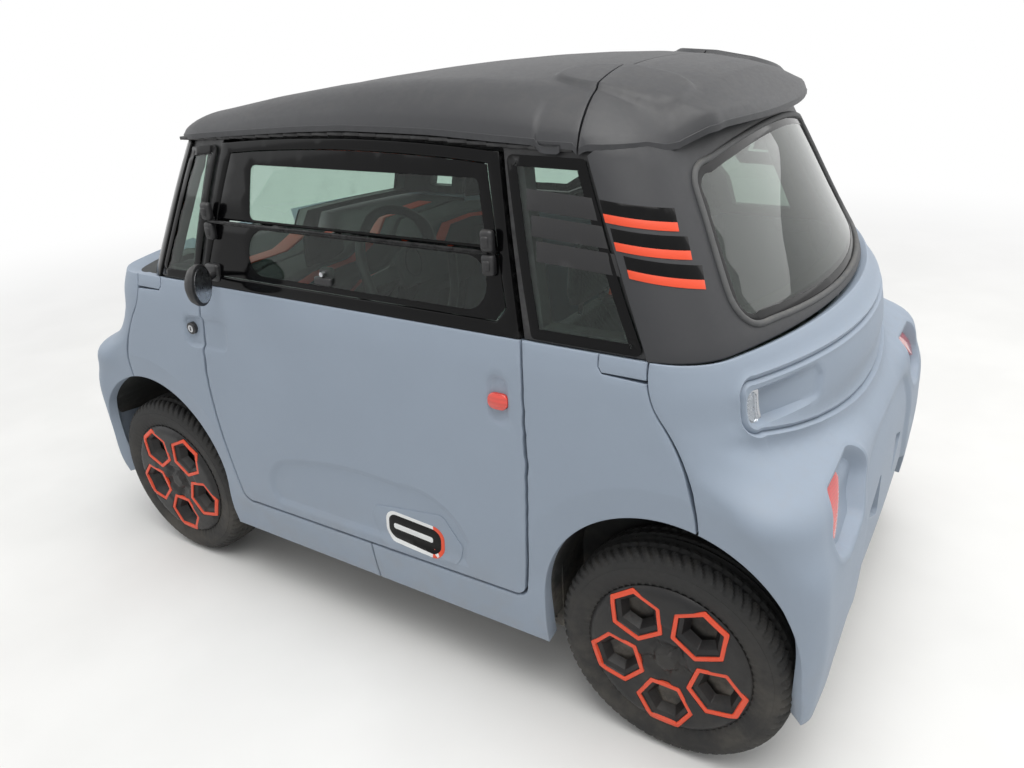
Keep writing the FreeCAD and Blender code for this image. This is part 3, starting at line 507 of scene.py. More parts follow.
class RoofShape(Skin):
    """Roof mouldings as they look: a flat top whose sides roll down to the doors and posts, and a visor behind.

    Columns of the top's table: distance along the car, height in the middle, height at the shoulders.
    Columns of the side's table: distance along the car, height of the lower edge.
    """

    top = ((-0.735, 1.412, 1.410), (-0.600, 1.432, 1.428), (-0.500, 1.449, 1.443), (-0.320, 1.476, 1.470),
           (-0.150, 1.497, 1.490), (0.000, 1.512, 1.503), (0.150, 1.520, 1.509), (0.300, 1.524, 1.509),
           (0.450, 1.524, 1.502), (0.600, 1.515, 1.484), (0.700, 1.500, 1.458), (0.765, 1.484, 1.434),
           (0.830, 1.442, 1.413), (0.875, 1.410, 1.402), (0.920, 1.396, 1.392))
    side = ((-0.62, 1.371), (-0.50, 1.373), (-0.42, 1.377), (-0.14, 1.391), (0.005, 1.3955), (0.25, 1.391),
            (0.433, 1.381), (0.60, 1.376), (0.80, 1.374))
    shoulder_y: float = 0.420
    half_width: float = 0.571
    front: float = 0.735
    end_radius: float = 1.500
    corner: float = 0.140
    visor: float = 0.048
    visor_y: Plane = (0.350, 0.458)
    boss: tuple[float, float, float, float] = (0.612, 0.345, 0.140, 0.090)
    boss_high: float = 0.010
    wall: float = 0.012
    post_level: float = 1.386
    lip: tuple[Plane, ...] = ((0.0, 1.404), (0.33, 1.399), (0.38, 1.390), (0.43, 1.371), (0.455, 1.372), (0.50, 1.386))
    glass: tuple[float, float, float] = (-0.615, -0.105, 0.372)
    glass_deep: float = 0.006

    def __init__(self) -> None:
        """Draws the plan's outline with the height and the roll's width along it."""
        half = self.front_half() + self.rear_half()
        other = [(x, -y, e, w) for x, y, e, w in reversed(half[1:-1])]
        rows = np.array(half + other)
        self.outline = rows[:, :2]
        self.edge = rows[:, 2:]

    def front_half(self) -> list[tuple[float, float, float, float]]:
        """Right half of the front: place, edge height and roll width.

        Returns:
            The points in order.
        """
        centre, edge = self.front - self.end_radius, self.half_width - self.corner
        corner_x = centre + math.sqrt((self.end_radius - self.corner) ** 2 - edge**2)
        angle = math.atan2(edge, corner_x - centre)
        rows = []
        for k in range(13):
            a = angle * k / 12
            y = self.end_radius * math.sin(a)
            rows.append((-centre - self.end_radius * math.cos(a), y, 1.402 - 0.032 * (y / edge) ** 2, 0.10))
        for k in range(1, 11):
            a = angle + (math.pi / 2 - angle) * k / 10
            rows.append((-corner_x - self.corner * math.cos(a), edge + self.corner * math.sin(a),
                         1.370 + 0.013 * k / 10, 0.10 + 0.0035 * k))
        return rows

    def rear_half(self) -> list[tuple[float, float, float, float]]:
        """Right side and rear: it follows the posts, then stands out as the visor.

        Returns:
            Rows of place, edge height and roll width.
        """
        xs = np.linspace(-0.50, 0.58, 28)
        stations, heights = np.array(self.side).T
        rows = [(float(x), self.half_width, float(np.interp(x, stations, heights)) + self.wall, 0.135) for x in xs]
        s = np.linspace(0.60, CABIN.length, 70)
        across = np.abs(CABIN.point(s, np.full(70, self.post_level))[:, 1])
        levels = np.interp(across, *np.array(self.lip).T)
        for (x, y, _), level in zip(CABIN.point(s, levels, -0.002), levels):
            y = abs(float(y))
            out = 1 - float(ramp(np.array([y]), *self.visor_y)[0])
            roll = 0.135 - 0.117 * float(1 - ramp(np.array([y]), self.visor_y[0] + 0.02, 0.50)[0])
            rows.append((float(x) + self.visor * out, y, float(level), roll))
        return rows

    def plateau(self, x: Array, y: Array) -> Array:
        """Height of the top before its edges roll down.

        Args:
            x: places along the car.
            y: places across the car.

        Returns:
            One height for each place.
        """
        stations, middle, shoulder = np.array(self.top).T
        mid, low = np.interp(x, stations, middle), np.interp(x, stations, shoulder)
        return mid - (mid - low) * np.clip(np.abs(y) / self.shoulder_y, 0, 1.35) ** 2.5

    def nearest(self, points: Array) -> tuple[Array, Array]:
        """Distance of plan points from the outline, with the edge's height and roll at the nearest place.

        Args:
            points: places, one per row.

        Returns:
            The distances, and rows of edge height and roll width.
        """
        best = np.full(len(points), FAR)
        values = np.zeros((len(points), 2))
        ends = np.roll(self.outline, -1, axis=0)
        later = np.roll(self.edge, -1, axis=0)
        for start, end, here, there in zip(self.outline, ends, self.edge, later):
            gap, t = to_edge(points, start, end)
            closer = gap < best
            best = np.where(closer, gap, best)
            values[closer] = (here + t * (there - here))[closer]
        best[~inside(points, self.outline)] = 0.0
        return best, values

    def height(self, x: Array, y: Array) -> Array:
        """Height of the outer surface.

        Args:
            x: places along the car.
            y: places across the car.

        Returns:
            One height for each place.
        """
        x, y = np.asarray(x, float), np.asarray(y, float)
        plateau = self.plateau(x, y)
        cx, cy, rx, ry = self.boss
        round_gap = (np.abs(x - cx) / rx) ** 3 + (np.abs(np.abs(y) - cy) / ry) ** 3
        plateau = plateau + self.boss_high * ramp(-round_gap, -1.25, -0.78)
        front, rear, half = self.glass
        into = np.minimum(np.minimum(x - front, rear - x), half - np.abs(y))
        plateau = plateau - self.glass_deep * ramp(into, -0.003, 0.001)
        gap, values = self.nearest(np.stack([x, y], axis=1))
        share = 1 - np.clip(gap / values[:, 1], 0, 1)
        return values[:, 0] + (plateau - values[:, 0]) * np.sqrt(np.clip(1 - share**2, 0, 1))

    def point(self, x: Array, y: Array, inset: float = 0.0) -> Array:
        """Points on the roof, lowered by the inset."""
        return np.stack([np.asarray(x, float), np.asarray(y, float), self.height(x, y) - inset], axis=1)

    def normal(self, x: Array, y: Array) -> Array:
        """Upright, so that thickness and steps are measured in height."""
        return np.tile([0.0, 0.0, 1.0], (len(np.asarray(x)), 1))


CANOPY = RoofShape()


# Meshes


Face = tuple[int, ...]


def ring_faces(rings: int, count: int, closed: bool = False) -> list[Face]:
    """Four-sided faces between rings of count points; closed joins the last ring to the first as well.

    Args:
        rings: number of rings.
        count: points in each ring.
        closed: whether the last joins the first.

    Returns:
        The faces.
    """
    faces = []
    for r in range(rings if closed else rings - 1):
        here, ahead = r * count, (r + 1) % rings * count
        for k in range(count):
            nxt = (k + 1) % count
            faces.append((here + k, here + nxt, ahead + nxt, ahead + k))
    return faces


def rewound(faces: list[Face]) -> list[Face]:
    """The same faces run the other way round, each from its own first corner."""
    return [face[:1] + face[:0:-1] for face in faces]


def end_faces(rings: int, count: int) -> list[Face]:
    """Faces that close the first and the last ring."""
    return [tuple(range(count)), tuple(reversed(range((rings - 1) * count, rings * count)))]


def linked(name: str, data: bpy.types.ID) -> bpy.types.Object:
    """New object with the given data, linked to the scene.

    Args:
        name: the piece's name.
        data: mesh, camera or light.

    Returns:
        The new object.
    """
    obj = bpy.data.objects.new(name, data)
    bpy.context.scene.collection.objects.link(obj)
    return obj


def new_object(name: str, verts: Array | list, faces: list, smooth: float = 35.0) -> bpy.types.Object:
    """Object from points and faces, shaded smooth with edges sharp above an angle.

    Args:
        name: the piece's name.
        verts: points, m.
        faces: corner indices of each face.
        smooth: angle in degrees above which an edge stays sharp.

    Returns:
        The new object, linked to the scene.
    """
    mesh = bpy.data.meshes.new(name)
    mesh.from_pydata([tuple(v) for v in verts], [], faces)
    mesh.validate()
    mesh.shade_smooth()
    mesh.set_sharp_from_angle(angle=math.radians(smooth))
    return linked(name, mesh)


Feature = tuple[Array, tuple[float, ...]]


def triangulate(loops: list[Array], step: float,
                features: list[Feature] | None = None) -> tuple[Array, list[tuple[int, int, int]], list[list[int]]]:
    """Fills an outline with holes by near-even triangles.

    Args:
        loops: outer outline first, then its holes.
        step: spacing of the inner points.
        features: outlines that rows of points follow, with the rows' distances inside each.

    Returns:
        All points, the triangles, and each loop's point indices.
    """
    edges, points, rings = [], [], []
    for loop in loops:
        base = len(points)
        ring = list(range(base, base + len(loop)))
        rings.append(ring)
        points += [tuple(p) for p in loop]
        edges += [(ring[k], ring[(k + 1) % len(ring)]) for k in range(len(ring))]

    def clear(places: Array, gap: float) -> Array:
        """Those places that lie in the outline and off its edges by the gap.

        Args:
            places: candidate points.
            gap: least distance.

        Returns:
            The places that stay.
        """
        low, high = loops[0].min(axis=0), loops[0].max(axis=0)
        places = places[np.all((places > low) & (places < high), axis=1)]
        places = places[within(places, loops)]
        return places[np.min([distance_to_loop(places, loop) for loop in loops], axis=0) > gap]

    low, high = loops[0].min(axis=0), loops[0].max(axis=0)
    rows = int((high[1] - low[1]) / (step * 0.866)) + 2
    columns = int((high[0] - low[0]) / step) + 2
    grid = clear(np.array([(low[0] + (c + 0.5 * (r % 2)) * step, low[1] + r * step * 0.866)
                           for r in range(rows) for c in range(columns)]), 0.55 * step)
    kept = np.zeros((0, 2))
    for outline, offsets in features or []:
        line = resample(tidy_loop(outline), 0.008)
        normal = loop_normals(line) * (1 if loop_area(line) > 0 else -1)
        for offset in offsets:
            row = clear(line + normal * offset, 0.003)
            if len(kept) and len(row):
                gaps = np.array([np.min(np.hypot(kept[:, 0] - x, kept[:, 1] - y)) for x, y in row])
                row = row[gaps > 0.0022]
            kept = np.concatenate([kept, row])
    for k in range(0, len(kept), 400):
        part = kept[k:k + 400]
        near = np.all((grid > part.min(axis=0) - step) & (grid < part.max(axis=0) + step), axis=1)
        gaps = np.full(len(grid), FAR)
        for x, y in part:
            gaps[near] = np.minimum(gaps[near], np.hypot(grid[near, 0] - x, grid[near, 1] - y))
        grid = grid[gaps > 0.5 * step]
    points += [tuple(p) for p in grid] + [tuple(p) for p in kept]
    out, _, tris, origin, _, _ = delaunay_2d_cdt([Vector(p) for p in points], edges, [], 0, 1e-7)
    where = {}
    for i, sources in enumerate(origin):
        for source in sources:
            where[source] = i
    flat = np.array([tuple(v) for v in out])
    corners = np.array([list(t) for t in tris])
    tri = corners[within(flat[corners].mean(axis=1), loops)]
    a, b, c = flat[tri[:, 0]], flat[tri[:, 1]], flat[tri[:, 2]]
    turn = (b[:, 0] - a[:, 0]) * (c[:, 1] - a[:, 1]) - (b[:, 1] - a[:, 1]) * (c[:, 0] - a[:, 0])
    tri[turn < 0] = tri[turn < 0][:, ::-1]
    rings = [[where[i] for i in ring] for ring in rings]
    return flat, [tuple(int(i) for i in t) for t in tri], rings


@dataclass
class PanelSpec:
    """How one moulded panel is cut from a skin.

    Attributes:
        skin: the surface.
        loops: closed outline and holes in the skin's own coordinates.
        depth: wall at the edges, m.
        step: spacing of the outer mesh.
        edge: rounding of the outer edge.
        relief: height above the skin at given points and coordinates, or None.
        inset: how far below the skin the outer face lies.
        inner_step: spacing of the inner face.
        features: outlines that the outer mesh follows.
        follow: whether the inner face follows the relief too.
    """

    skin: Skin
    loops: list[list[Plane]]
    depth: float = PANEL_WALL
    step: float = 0.012
    edge: float = 0.003
    relief: Callable[[Array, Array], Array] | None = None
    inset: float = 0.0
    inner_step: float = 0.05
    features: list[Feature] = field(default_factory=list)
    follow: bool = False


def panel_mesh(name: str, spec: PanelSpec) -> bpy.types.Object:
    """Closed panel: outer face with its relief, rounded edges, walls and a plain inner face.

    Args:
        name: the piece's name.
        spec: how the panel is cut.

    Returns:
        The new piece.
    """
    skin, edge = spec.skin, spec.edge
    loops = []
    for k, loop in enumerate(spec.loops):
        points = tidy_loop(np.array(loop, float))
        if (loop_area(points) > 0) != (k == 0):
            points = points[::-1]
        loops.append(tidy_loop(resample(points, spec.step * 0.8)))
    drawn = [loop - loop_normals(loop) * edge for loop in loops]
    flat, tris, rings = triangulate(drawn, spec.step, spec.features)

    def place(uv: Array, lifted: bool) -> tuple[Array, Array]:
        """Points on the panel's face, with or without the relief, and their normals.

        Args:
            uv: the points' coordinates on the skin.
            lifted: whether the relief counts.

        Returns:
            The points and their normals.
        """
        normal = skin.normal(uv[:, 0], uv[:, 1])
        base = skin.point(uv[:, 0], uv[:, 1])
        face = base - normal * spec.inset
        if lifted and spec.relief:
            face = face + normal * spec.relief(base, uv)[:, None]
        return face, normal

    outer, _ = place(flat, True)
    inner_flat, inner_tris, inner_rings = triangulate(drawn, spec.inner_step)
    inner, inner_normal = place(inner_flat, spec.follow)
    verts = [outer]
    count = len(outer)
    faces: list[tuple[int, ...]] = list(tris)
    wall_rows = []
    for loop, ring in zip(drawn, rings):
        uv = flat[ring]
        ahead, _ = place(uv + loop_normals(loop) * 0.002, False)
        here, normal = place(uv, False)
        way = ahead - here
        way -= normal * np.sum(way * normal, axis=1, keepdims=True)
        way /= np.linalg.norm(way, axis=1, keepdims=True)
        start = outer[ring]
        rows = [np.array(ring)]
        for angle in (0.5236, 1.0472, 1.5708):
            verts.append(start + way * edge * math.sin(angle) - normal * edge * (1 - math.cos(angle)))
            rows.append(np.arange(count, count + len(ring)))
            count += len(ring)
        foot = start if spec.follow else here
        verts.append(foot + way * edge - normal * spec.depth)
        rows.append(np.arange(count, count + len(ring)))
        count += len(ring)
        for low, high in zip(rows, rows[1:]):
            for k in range(len(ring)):
                nxt = (k + 1) % len(ring)
                faces.append((int(low[k]), int(high[k]), int(high[nxt]), int(low[nxt])))
        wall_rows.append(rows[-1])
    offset = count
    verts.append(inner - inner_normal * spec.depth)
    swap = {}
    for row, ring in zip(wall_rows, inner_rings):
        for k, i in enumerate(ring):
            swap[i] = int(row[k])
    faces += [tuple(swap.get(i, i + offset) for i in reversed(t)) for t in inner_tris]
    every = np.concatenate(verts)
    used = sorted({i for f in faces for i in f})
    renumber = {i: k for k, i in enumerate(used)}
    faces = [tuple(renumber[i] for i in f) for f in faces]
    return new_object(name, every[used], faces)


def on_side(skin: LoftSkin, points: Sequence[Plane] | Array) -> list[Plane]:
    """Side outline in x and z, put on the left side of a skin."""
    xz = np.array(points, float)
    return list(zip(skin.s_of_x(xz[:, 0], xz[:, 1]), xz[:, 1]))


def on_end(skin: LoftSkin, points: Sequence[Plane] | Array, front: bool = False) -> list[Plane]:
    """End outline in y and z, put on one end of a skin."""
    yz = np.array(points, float)
    return list(zip(skin.s_of_y(yz[:, 0], yz[:, 1], front), yz[:, 1]))


def turned_copy(source: bpy.types.Object, name: str) -> bpy.types.Object:
    """The same piece turned half round about the car's upright axis.

    Args:
        source: the piece to copy.
        name: the piece's name.

    Returns:
        The turned piece.
    """
    mesh = source.data.copy()
    mesh.transform(Matrix.Rotation(math.pi, 4, "Z"))
    return linked(name, mesh)


def mirrored_copy(source: bpy.types.Object, name: str) -> bpy.types.Object:
    """The same piece mirrored to the other side of the car.

    Args:
        source: the piece to copy.
        name: the piece's name.

    Returns:
        The mirrored piece.
    """
    mesh = source.data.copy()
    mesh.transform(Matrix.Scale(-1, 4, Vector((0, 1, 0))))
    mesh.flip_normals()
    return linked(name, mesh)


def tube(name: str, points: list[Point] | Array, radius: float, closed: bool = False, sides: int = 10,
         flat: float = 1.0) -> bpy.types.Object:
    """Round or oval bar along a line of points, with closed ends.

    Args:
        name: the piece's name.
        points: the line.
        radius: half its width, m.
        closed: whether the last joins the first.
        sides: points round it.
        flat: height as a share of the width.

    Returns:
        The new piece.
    """
    line = [Vector(p) for p in points]
    count = len(line)
    verts = []
    up = Vector((0, 0, 1))
    for i, here in enumerate(line):
        before = line[i - 1] if i or closed else here
        after = line[(i + 1) % count] if i < count - 1 or closed else here
        way = (after - before).normalized()
        side = way.cross(up)
        side = side.normalized() if side.length > 1e-4 else Vector((0, 1, 0))
        top = side.cross(way).normalized()
        for k in range(sides):
            angle = math.tau * k / sides
            verts.append(here + side * radius * math.cos(angle) + top * radius * flat * math.sin(angle))
    ends = [] if closed else end_faces(count, sides)
    return new_object(name, verts, rewound(ring_faces(count, sides, closed)) + ends, 50)


def lathe(name: str, profile: list[Plane], centre: Point, segments: int = 96,
          smooth: float = 32.0) -> bpy.types.Object:
    """Solid of revolution about a left wheel's axis.

    Args:
        name: the piece's name.
        profile: closed loop of (distance outward, radius).
        centre: the wheel's centre.
        segments: steps round.
        smooth: angle above which an edge stays sharp.

    Returns:
        The new object.
    """
    verts = []
    for k in range(segments):
        angle = math.tau * k / segments
        for across, radius in profile:
            verts.append((centre[0] + radius * math.cos(angle), centre[1] - across,
                          centre[2] + radius * math.sin(angle)))
    faces = [face[::-1] for face in ring_faces(segments, len(profile), True)]
    return face_outward(new_object(name, verts, faces, smooth))


def face_outward(obj: bpy.types.Object) -> bpy.types.Object:
    """Turns all faces of an object outward.

    Args:
        obj: the piece.

    Returns:
        The same piece.
    """
    bm = bmesh.new()
    bm.from_mesh(obj.data)
    bmesh.ops.recalc_face_normals(bm, faces=bm.faces)
    bm.to_mesh(obj.data)
    bm.free()
    obj.data.update()
    return obj


def rounded_box(name: str, low: Point, high: Point, radius: float = 0.004, segments: int = 3) -> bpy.types.Object:
    """Box with rounded edges.

    Args:
        name: the piece's name.
        low: lowest corner.
        high: highest corner.
        radius: rounding, m.
        segments: steps in each rounding.

    Returns:
        The new piece.
    """
    bm = bmesh.new()
    bmesh.ops.create_cube(bm, size=1.0)
    size = Vector(high) - Vector(low)
    middle = (Vector(high) + Vector(low)) / 2
    for v in bm.verts:
        v.co = Vector((v.co.x * size.x, v.co.y * size.y, v.co.z * size.z)) + middle
    reach = min(radius, min(size) * 0.49)
    bmesh.ops.bevel(bm, geom=bm.edges[:], offset=reach, segments=segments, profile=0.5, affect="EDGES")
    mesh = bpy.data.meshes.new(name)
    bm.to_mesh(mesh)
    bm.free()
    mesh.shade_smooth()
    mesh.set_sharp_from_angle(angle=math.radians(50))
    return linked(name, mesh)


def slab(name: str, outline: list[Plane], place: Callable[[float, float, float], Point], thick: float,
         edge: float = 0.0015) -> bpy.types.Object:
    """Flat plate with rounded edges from an outline, put in space by a function of (u, v, depth).

    Args:
        name: the piece's name.
        outline: closed outline.
        place: gives the point for (u, v, depth).
        thick: thickness, m.
        edge: rounding of the edges, m.

    Returns:
        The new piece.
    """
    loop = tidy_loop(np.array(outline, float))
    if loop_area(loop) < 0:
        loop = loop[::-1]
    normal = loop_normals(loop)
    rows = [(loop - normal * edge, 0.0), (loop - normal * edge * 0.3, edge * 0.3), (loop, edge),
            (loop, thick - edge), (loop - normal * edge * 0.3, thick - edge * 0.3), (loop - normal * edge, thick)]
    verts = []
    for points, depth in rows:
        verts += [place(float(u), float(v), depth) for u, v in points]
    faces = rewound(ring_faces(len(rows), len(loop))) + end_faces(len(rows), len(loop))
    return face_outward(new_object(name, verts, faces, 40))


def join(name: str, parts: list[bpy.types.Object]) -> bpy.types.Object:
    """One object from several, keeping their materials.

    Args:
        name: the piece's name.
        parts: the pieces to join.

    Returns:
        The joined piece.
    """
    bm = bmesh.new()
    materials: list[bpy.types.Material] = []
    for part in parts:
        start = len(bm.faces)
        slots = []
        for material in part.data.materials:
            if material not in materials:
                materials.append(material)
            slots.append(materials.index(material))
        bm.from_mesh(part.data)
        bm.faces.ensure_lookup_table()
        for face in bm.faces[start:]:
            if slots:
                face.material_index = slots[min(face.material_index, len(slots) - 1)]
    mesh = bpy.data.meshes.new(name)
    bm.to_mesh(mesh)
    bm.free()
    for material in materials:
        mesh.materials.append(material)
    for part in parts:
        data = part.data
        bpy.data.objects.remove(part)
        bpy.data.meshes.remove(data)
    return linked(name, mesh)


def dress(obj: bpy.types.Object, finish: "Finish") -> bpy.types.Object:
    """Gives an object its finish.

    Args:
        obj: the piece.
        finish: its finish.

    Returns:
        The same piece.
    """
    obj.data.materials.clear()
    obj.data.materials.append(finish.build())
    return obj


def block(name: str, finish: "Finish", low: Point, high: Point, radius: float) -> bpy.types.Object:
    """Dressed box with rounded edges."""
    return dress(rounded_box(name, low, high, radius), finish)


def sheet(name: str, finish: "Finish", skin: Skin, loops: list, **sizes: object) -> bpy.types.Object:
    """Dressed panel cut from a skin, with the sizes of a PanelSpec."""
    return dress(panel_mesh(name, PanelSpec(skin, loops, **sizes)), finish)


def settle(obj: bpy.types.Object, body: str, slot: str, *nodes: str) -> bpy.types.Object:
    """Lets a piece ride on its body and hides the frame nodes that it stands for.

    Args:
        obj: the piece.
        body: the body it rides on.
        slot: the material slot's name; not used.
        nodes: the nodes that it stands for.

    Returns:
        The same piece.
    """
    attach(obj, body)
    if nodes:
        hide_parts(*nodes)
    LOG.info("%s on %s", obj.name, body)
    return obj


# Finishes


def linear(red: int, green: int, blue: int) -> tuple[float, float, float, float]:
    """Shader colour for a colour given as it shows on a screen, 0 to 255.

    Args:
        red: red channel.
        green: green channel.
        blue: blue channel.

    Returns:
        The colour with an alpha of 1.
    """
    def one(value: int) -> float:
        """One channel."""
        c = value / 255
        return c / 12.92 if c <= 0.04045 else ((c + 0.055) / 1.055) ** 2.4
    return one(red), one(green), one(blue), 1.0


Socket = bpy.types.NodeSocket


class Graph:
    """Adds and links nodes in one shader tree."""

    def __init__(self, tree: bpy.types.NodeTree) -> None:
        """Works on the given tree."""
        self.tree = tree

    def feed(self, node: bpy.types.Node, inputs: dict) -> None:
        """Gives each named input of a node a value or a source socket.

        Args:
            node: the node.
            inputs: a value or a source socket for each input.
        """
        for key, value in inputs.items():
            if isinstance(value, bpy.types.NodeSocket):
                self.tree.links.new(value, node.inputs[key])
            else:
                node.inputs[key].default_value = value

    def add(self, kind: str, inputs: dict | None = None, **settings: object) -> bpy.types.Node:
        """New node with its settings and inputs.

        Args:
            kind: the node's type name without its common prefix.
            inputs: a value or a source socket for each named input.
            settings: plain settings of the node.

        Returns:
            The node.
        """
        node = self.tree.nodes.new("ShaderNode" + kind)
        for key, value in settings.items():
            setattr(node, key, value)
        self.feed(node, inputs or {})
        return node

    def math(self, operation: str, a: Socket | float, b: Socket | float = 0.0, clamp: bool = False) -> Socket:
        """Result of one sum on two values."""
        return self.add("Math", {0: a, 1: b}, operation=operation, use_clamp=clamp).outputs[0]

    def ramp(self, value: Socket, low: float, high: float, start: float = 0.0, end: float = 1.0) -> Socket:
        """Smooth step of a value between two limits."""
        return self.add("MapRange", {"Value": value, "From Min": low, "From Max": high, "To Min": start,
                                     "To Max": end}, interpolation_type="SMOOTHSTEP").outputs["Result"]

    def mix(self, factor: Socket | float, a: Socket | tuple, b: Socket | tuple, blend: str = "MIX") -> Socket:
        """Blend of two colours."""
        return self.add("Mix", {0: factor, 6: a, 7: b}, data_type="RGBA", blend_type=blend).outputs[2]

    def place(self) -> Socket:
        """The piece's own coordinates."""
        return self.add("TexCoord").outputs["Object"]

    def noise(self, scale: float | Socket, detail: float = 3.0, rough: float = 0.5) -> Socket:
        """Noise over the piece's own coordinates, about 0.5 in the middle."""
        return self.add("TexNoise", {"Vector": self.place(), "Scale": scale, "Detail": detail,
                                     "Roughness": rough}).outputs["Fac"]

    def wave(self, scale: float, way: str = "Z", **more: float) -> Socket:
        """Parallel bands over the piece's own coordinates."""
        return self.add("TexWave", {"Vector": self.place(), "Scale": scale, "Distortion": 0.0, **more},
                        bands_direction=way).outputs["Fac"]

    def bump(self, height: Socket, strength: float, distance: float) -> Socket:
        """Normal of a fine relief."""
        return self.add("Bump", {"Height": height, "Strength": strength, "Distance": distance}).outputs["Normal"]

    def surface(self, shader: bpy.types.Node, other: bpy.types.Node, factor: Socket) -> None:
        """Blends a second shader over the first and puts both on the surface."""
        blend = self.add("MixShader", {0: factor, 1: shader.outputs[0], 2: other.outputs[0]})
        self.feed(self.tree.nodes["Material Output"], {"Surface": blend.outputs[0]})


class Effects:
    """Node groups that several finishes share, each built once."""

    sockets = {
        "moulded_grain": (("Colour", "Scale", "Mottle", "Roughness"), ("Colour", "Roughness", "Height")),
        "road_dust": (("Colour", "Roughness", "Amount"), ("Colour", "Roughness")),
        "edge_wear": (("Colour", "Worn", "Amount"), ("Colour",)),
    }

    def __init__(self) -> None:
        """Starts with none built."""
        self.built: dict[str, bpy.types.NodeTree] = {}

    def placed(self, g: Graph, name: str, inputs: dict) -> bpy.types.NodeOutputs:
        """Outputs of a group, built on first use and placed in a material with its own values.

        Args:
            g: the material's graph.
            name: the group's name.
            inputs: a value or a source socket for each named input.

        Returns:
            The placed group's outputs.
        """
        if name not in self.built:
            tree = bpy.data.node_groups.new(name, "ShaderNodeTree")
            for way, keys in zip(("INPUT", "OUTPUT"), self.sockets[name]):
                for key in keys:
                    kind = "Color" if key in ("Colour", "Worn") else "Float"
                    tree.interface.new_socket(key, in_out=way, socket_type="NodeSocket" + kind)
            inner = Graph(tree)
            entry, leave = tree.nodes.new("NodeGroupInput"), tree.nodes.new("NodeGroupOutput")
            fill = {"moulded_grain": self.grain, "road_dust": self.dust, "edge_wear": self.wear}[name]
            inner.feed(leave, fill(inner, entry.outputs))
            self.built[name] = tree
        return g.add("Group", inputs, node_tree=self.built[name]).outputs

    def grain(self, g: Graph, given: bpy.types.NodeOutputs) -> dict[str, Socket]:
        """Fine moulded grain with broad and small changes of shade.

        Args:
            g: the graph that gets the nodes.
            given: the group's input sockets.

        Returns:
            A socket for each output.
        """
        broad = g.math("SUBTRACT", g.noise(3.2, 4.0), 0.5)
        small = g.math("SUBTRACT", g.noise(70.0, 3.0, 0.6), 0.5)
        both = g.math("ADD", g.math("MULTIPLY", broad, 1.4), g.math("MULTIPLY", small, 0.5))
        shade = g.math("ADD", g.math("MULTIPLY", both, given["Mottle"]), 1.0)
        tint = g.add("CombineXYZ", {0: shade, 1: shade, 2: shade}).outputs[0]
        grain = g.noise(given["Scale"], 2.0, 0.55)
        rough = g.math("ADD", given["Roughness"], g.math("MULTIPLY", small, 0.16))
        rough = g.math("ADD", rough, g.math("MULTIPLY", g.math("SUBTRACT", grain, 0.5), 0.10), True)
        return {"Colour": g.mix(1.0, given["Colour"], tint, "MULTIPLY"), "Roughness": rough, "Height": grain}

    def dust(self, g: Graph, given: bpy.types.NodeOutputs) -> dict[str, Socket]:
        """Road dust that lies on upward faces and gathers low on the car.

        Args:
            g: the graph that gets the nodes.
            given: the group's input sockets.

        Returns:
            A socket for each output.
        """
        height = g.add("SeparateXYZ", {0: g.place()}).outputs[2]
        up = g.add("SeparateXYZ", {0: g.add("NewGeometry").outputs["Normal"]}).outputs[2]
        low = g.math("MULTIPLY", g.ramp(height, 0.55, 0.16), g.ramp(g.noise(9.0, 6.0, 0.65), 0.35, 0.7))
        top = g.math("MULTIPLY", g.ramp(up, 0.3, 1.0), g.ramp(g.noise(26.0, 6.0, 0.7), 0.42, 0.72))
        mask = g.math("ADD", g.math("MULTIPLY", low, 1.6), g.math("MULTIPLY", top, 0.7))
        mask = g.math("MULTIPLY", mask, given["Amount"], True)
        return {"Colour": g.mix(mask, given["Colour"], linear(150, 143, 131)),
                "Roughness": g.math("ADD", given["Roughness"], g.math("MULTIPLY", mask, 0.35), True)}

    def wear(self, g: Graph, given: bpy.types.NodeOutputs) -> dict[str, Socket]:
        """Paler scuffs along sharp edges.

        Args:
            g: the graph that gets the nodes.
            given: the group's input sockets.

        Returns:
            A socket for each output.
        """
        point = g.add("NewGeometry").outputs["Pointiness"]
        mask = g.math("MULTIPLY", g.ramp(point, 0.52, 0.60), g.ramp(g.noise(45.0, 5.0, 0.7), 0.35, 0.65))
        mask = g.math("MULTIPLY", mask, given["Amount"], True)
        return {"Colour": g.mix(mask, given["Colour"], given["Worn"])}


EFFECTS = Effects()
MADE: dict[str, bpy.types.Material] = {}


def fresh_material(name: str) -> tuple[bpy.types.Material, Graph, bpy.types.Node]:
    """New material with only a Principled shader in it, its graph and that shader.

    Args:
        name: the material's name.

    Returns:
        The material, its graph and its shader.
    """
    material = bpy.data.materials.new(name)
    material.use_nodes = True
    return material, Graph(material.node_tree), material.node_tree.nodes["Principled BSDF"]


@dataclass(frozen=True)
class Finish:
    """A named finish and its colour as it shows on a screen."""

    name: str
    colour: tuple[int, int, int]

    def build(self) -> bpy.types.Material:
        """The material, built on first use.

        Returns:
            The material.
        """
        if self.name not in MADE:
            MADE[self.name], graph, shader = fresh_material(self.name)
            self.shade(graph, shader)
        return MADE[self.name]


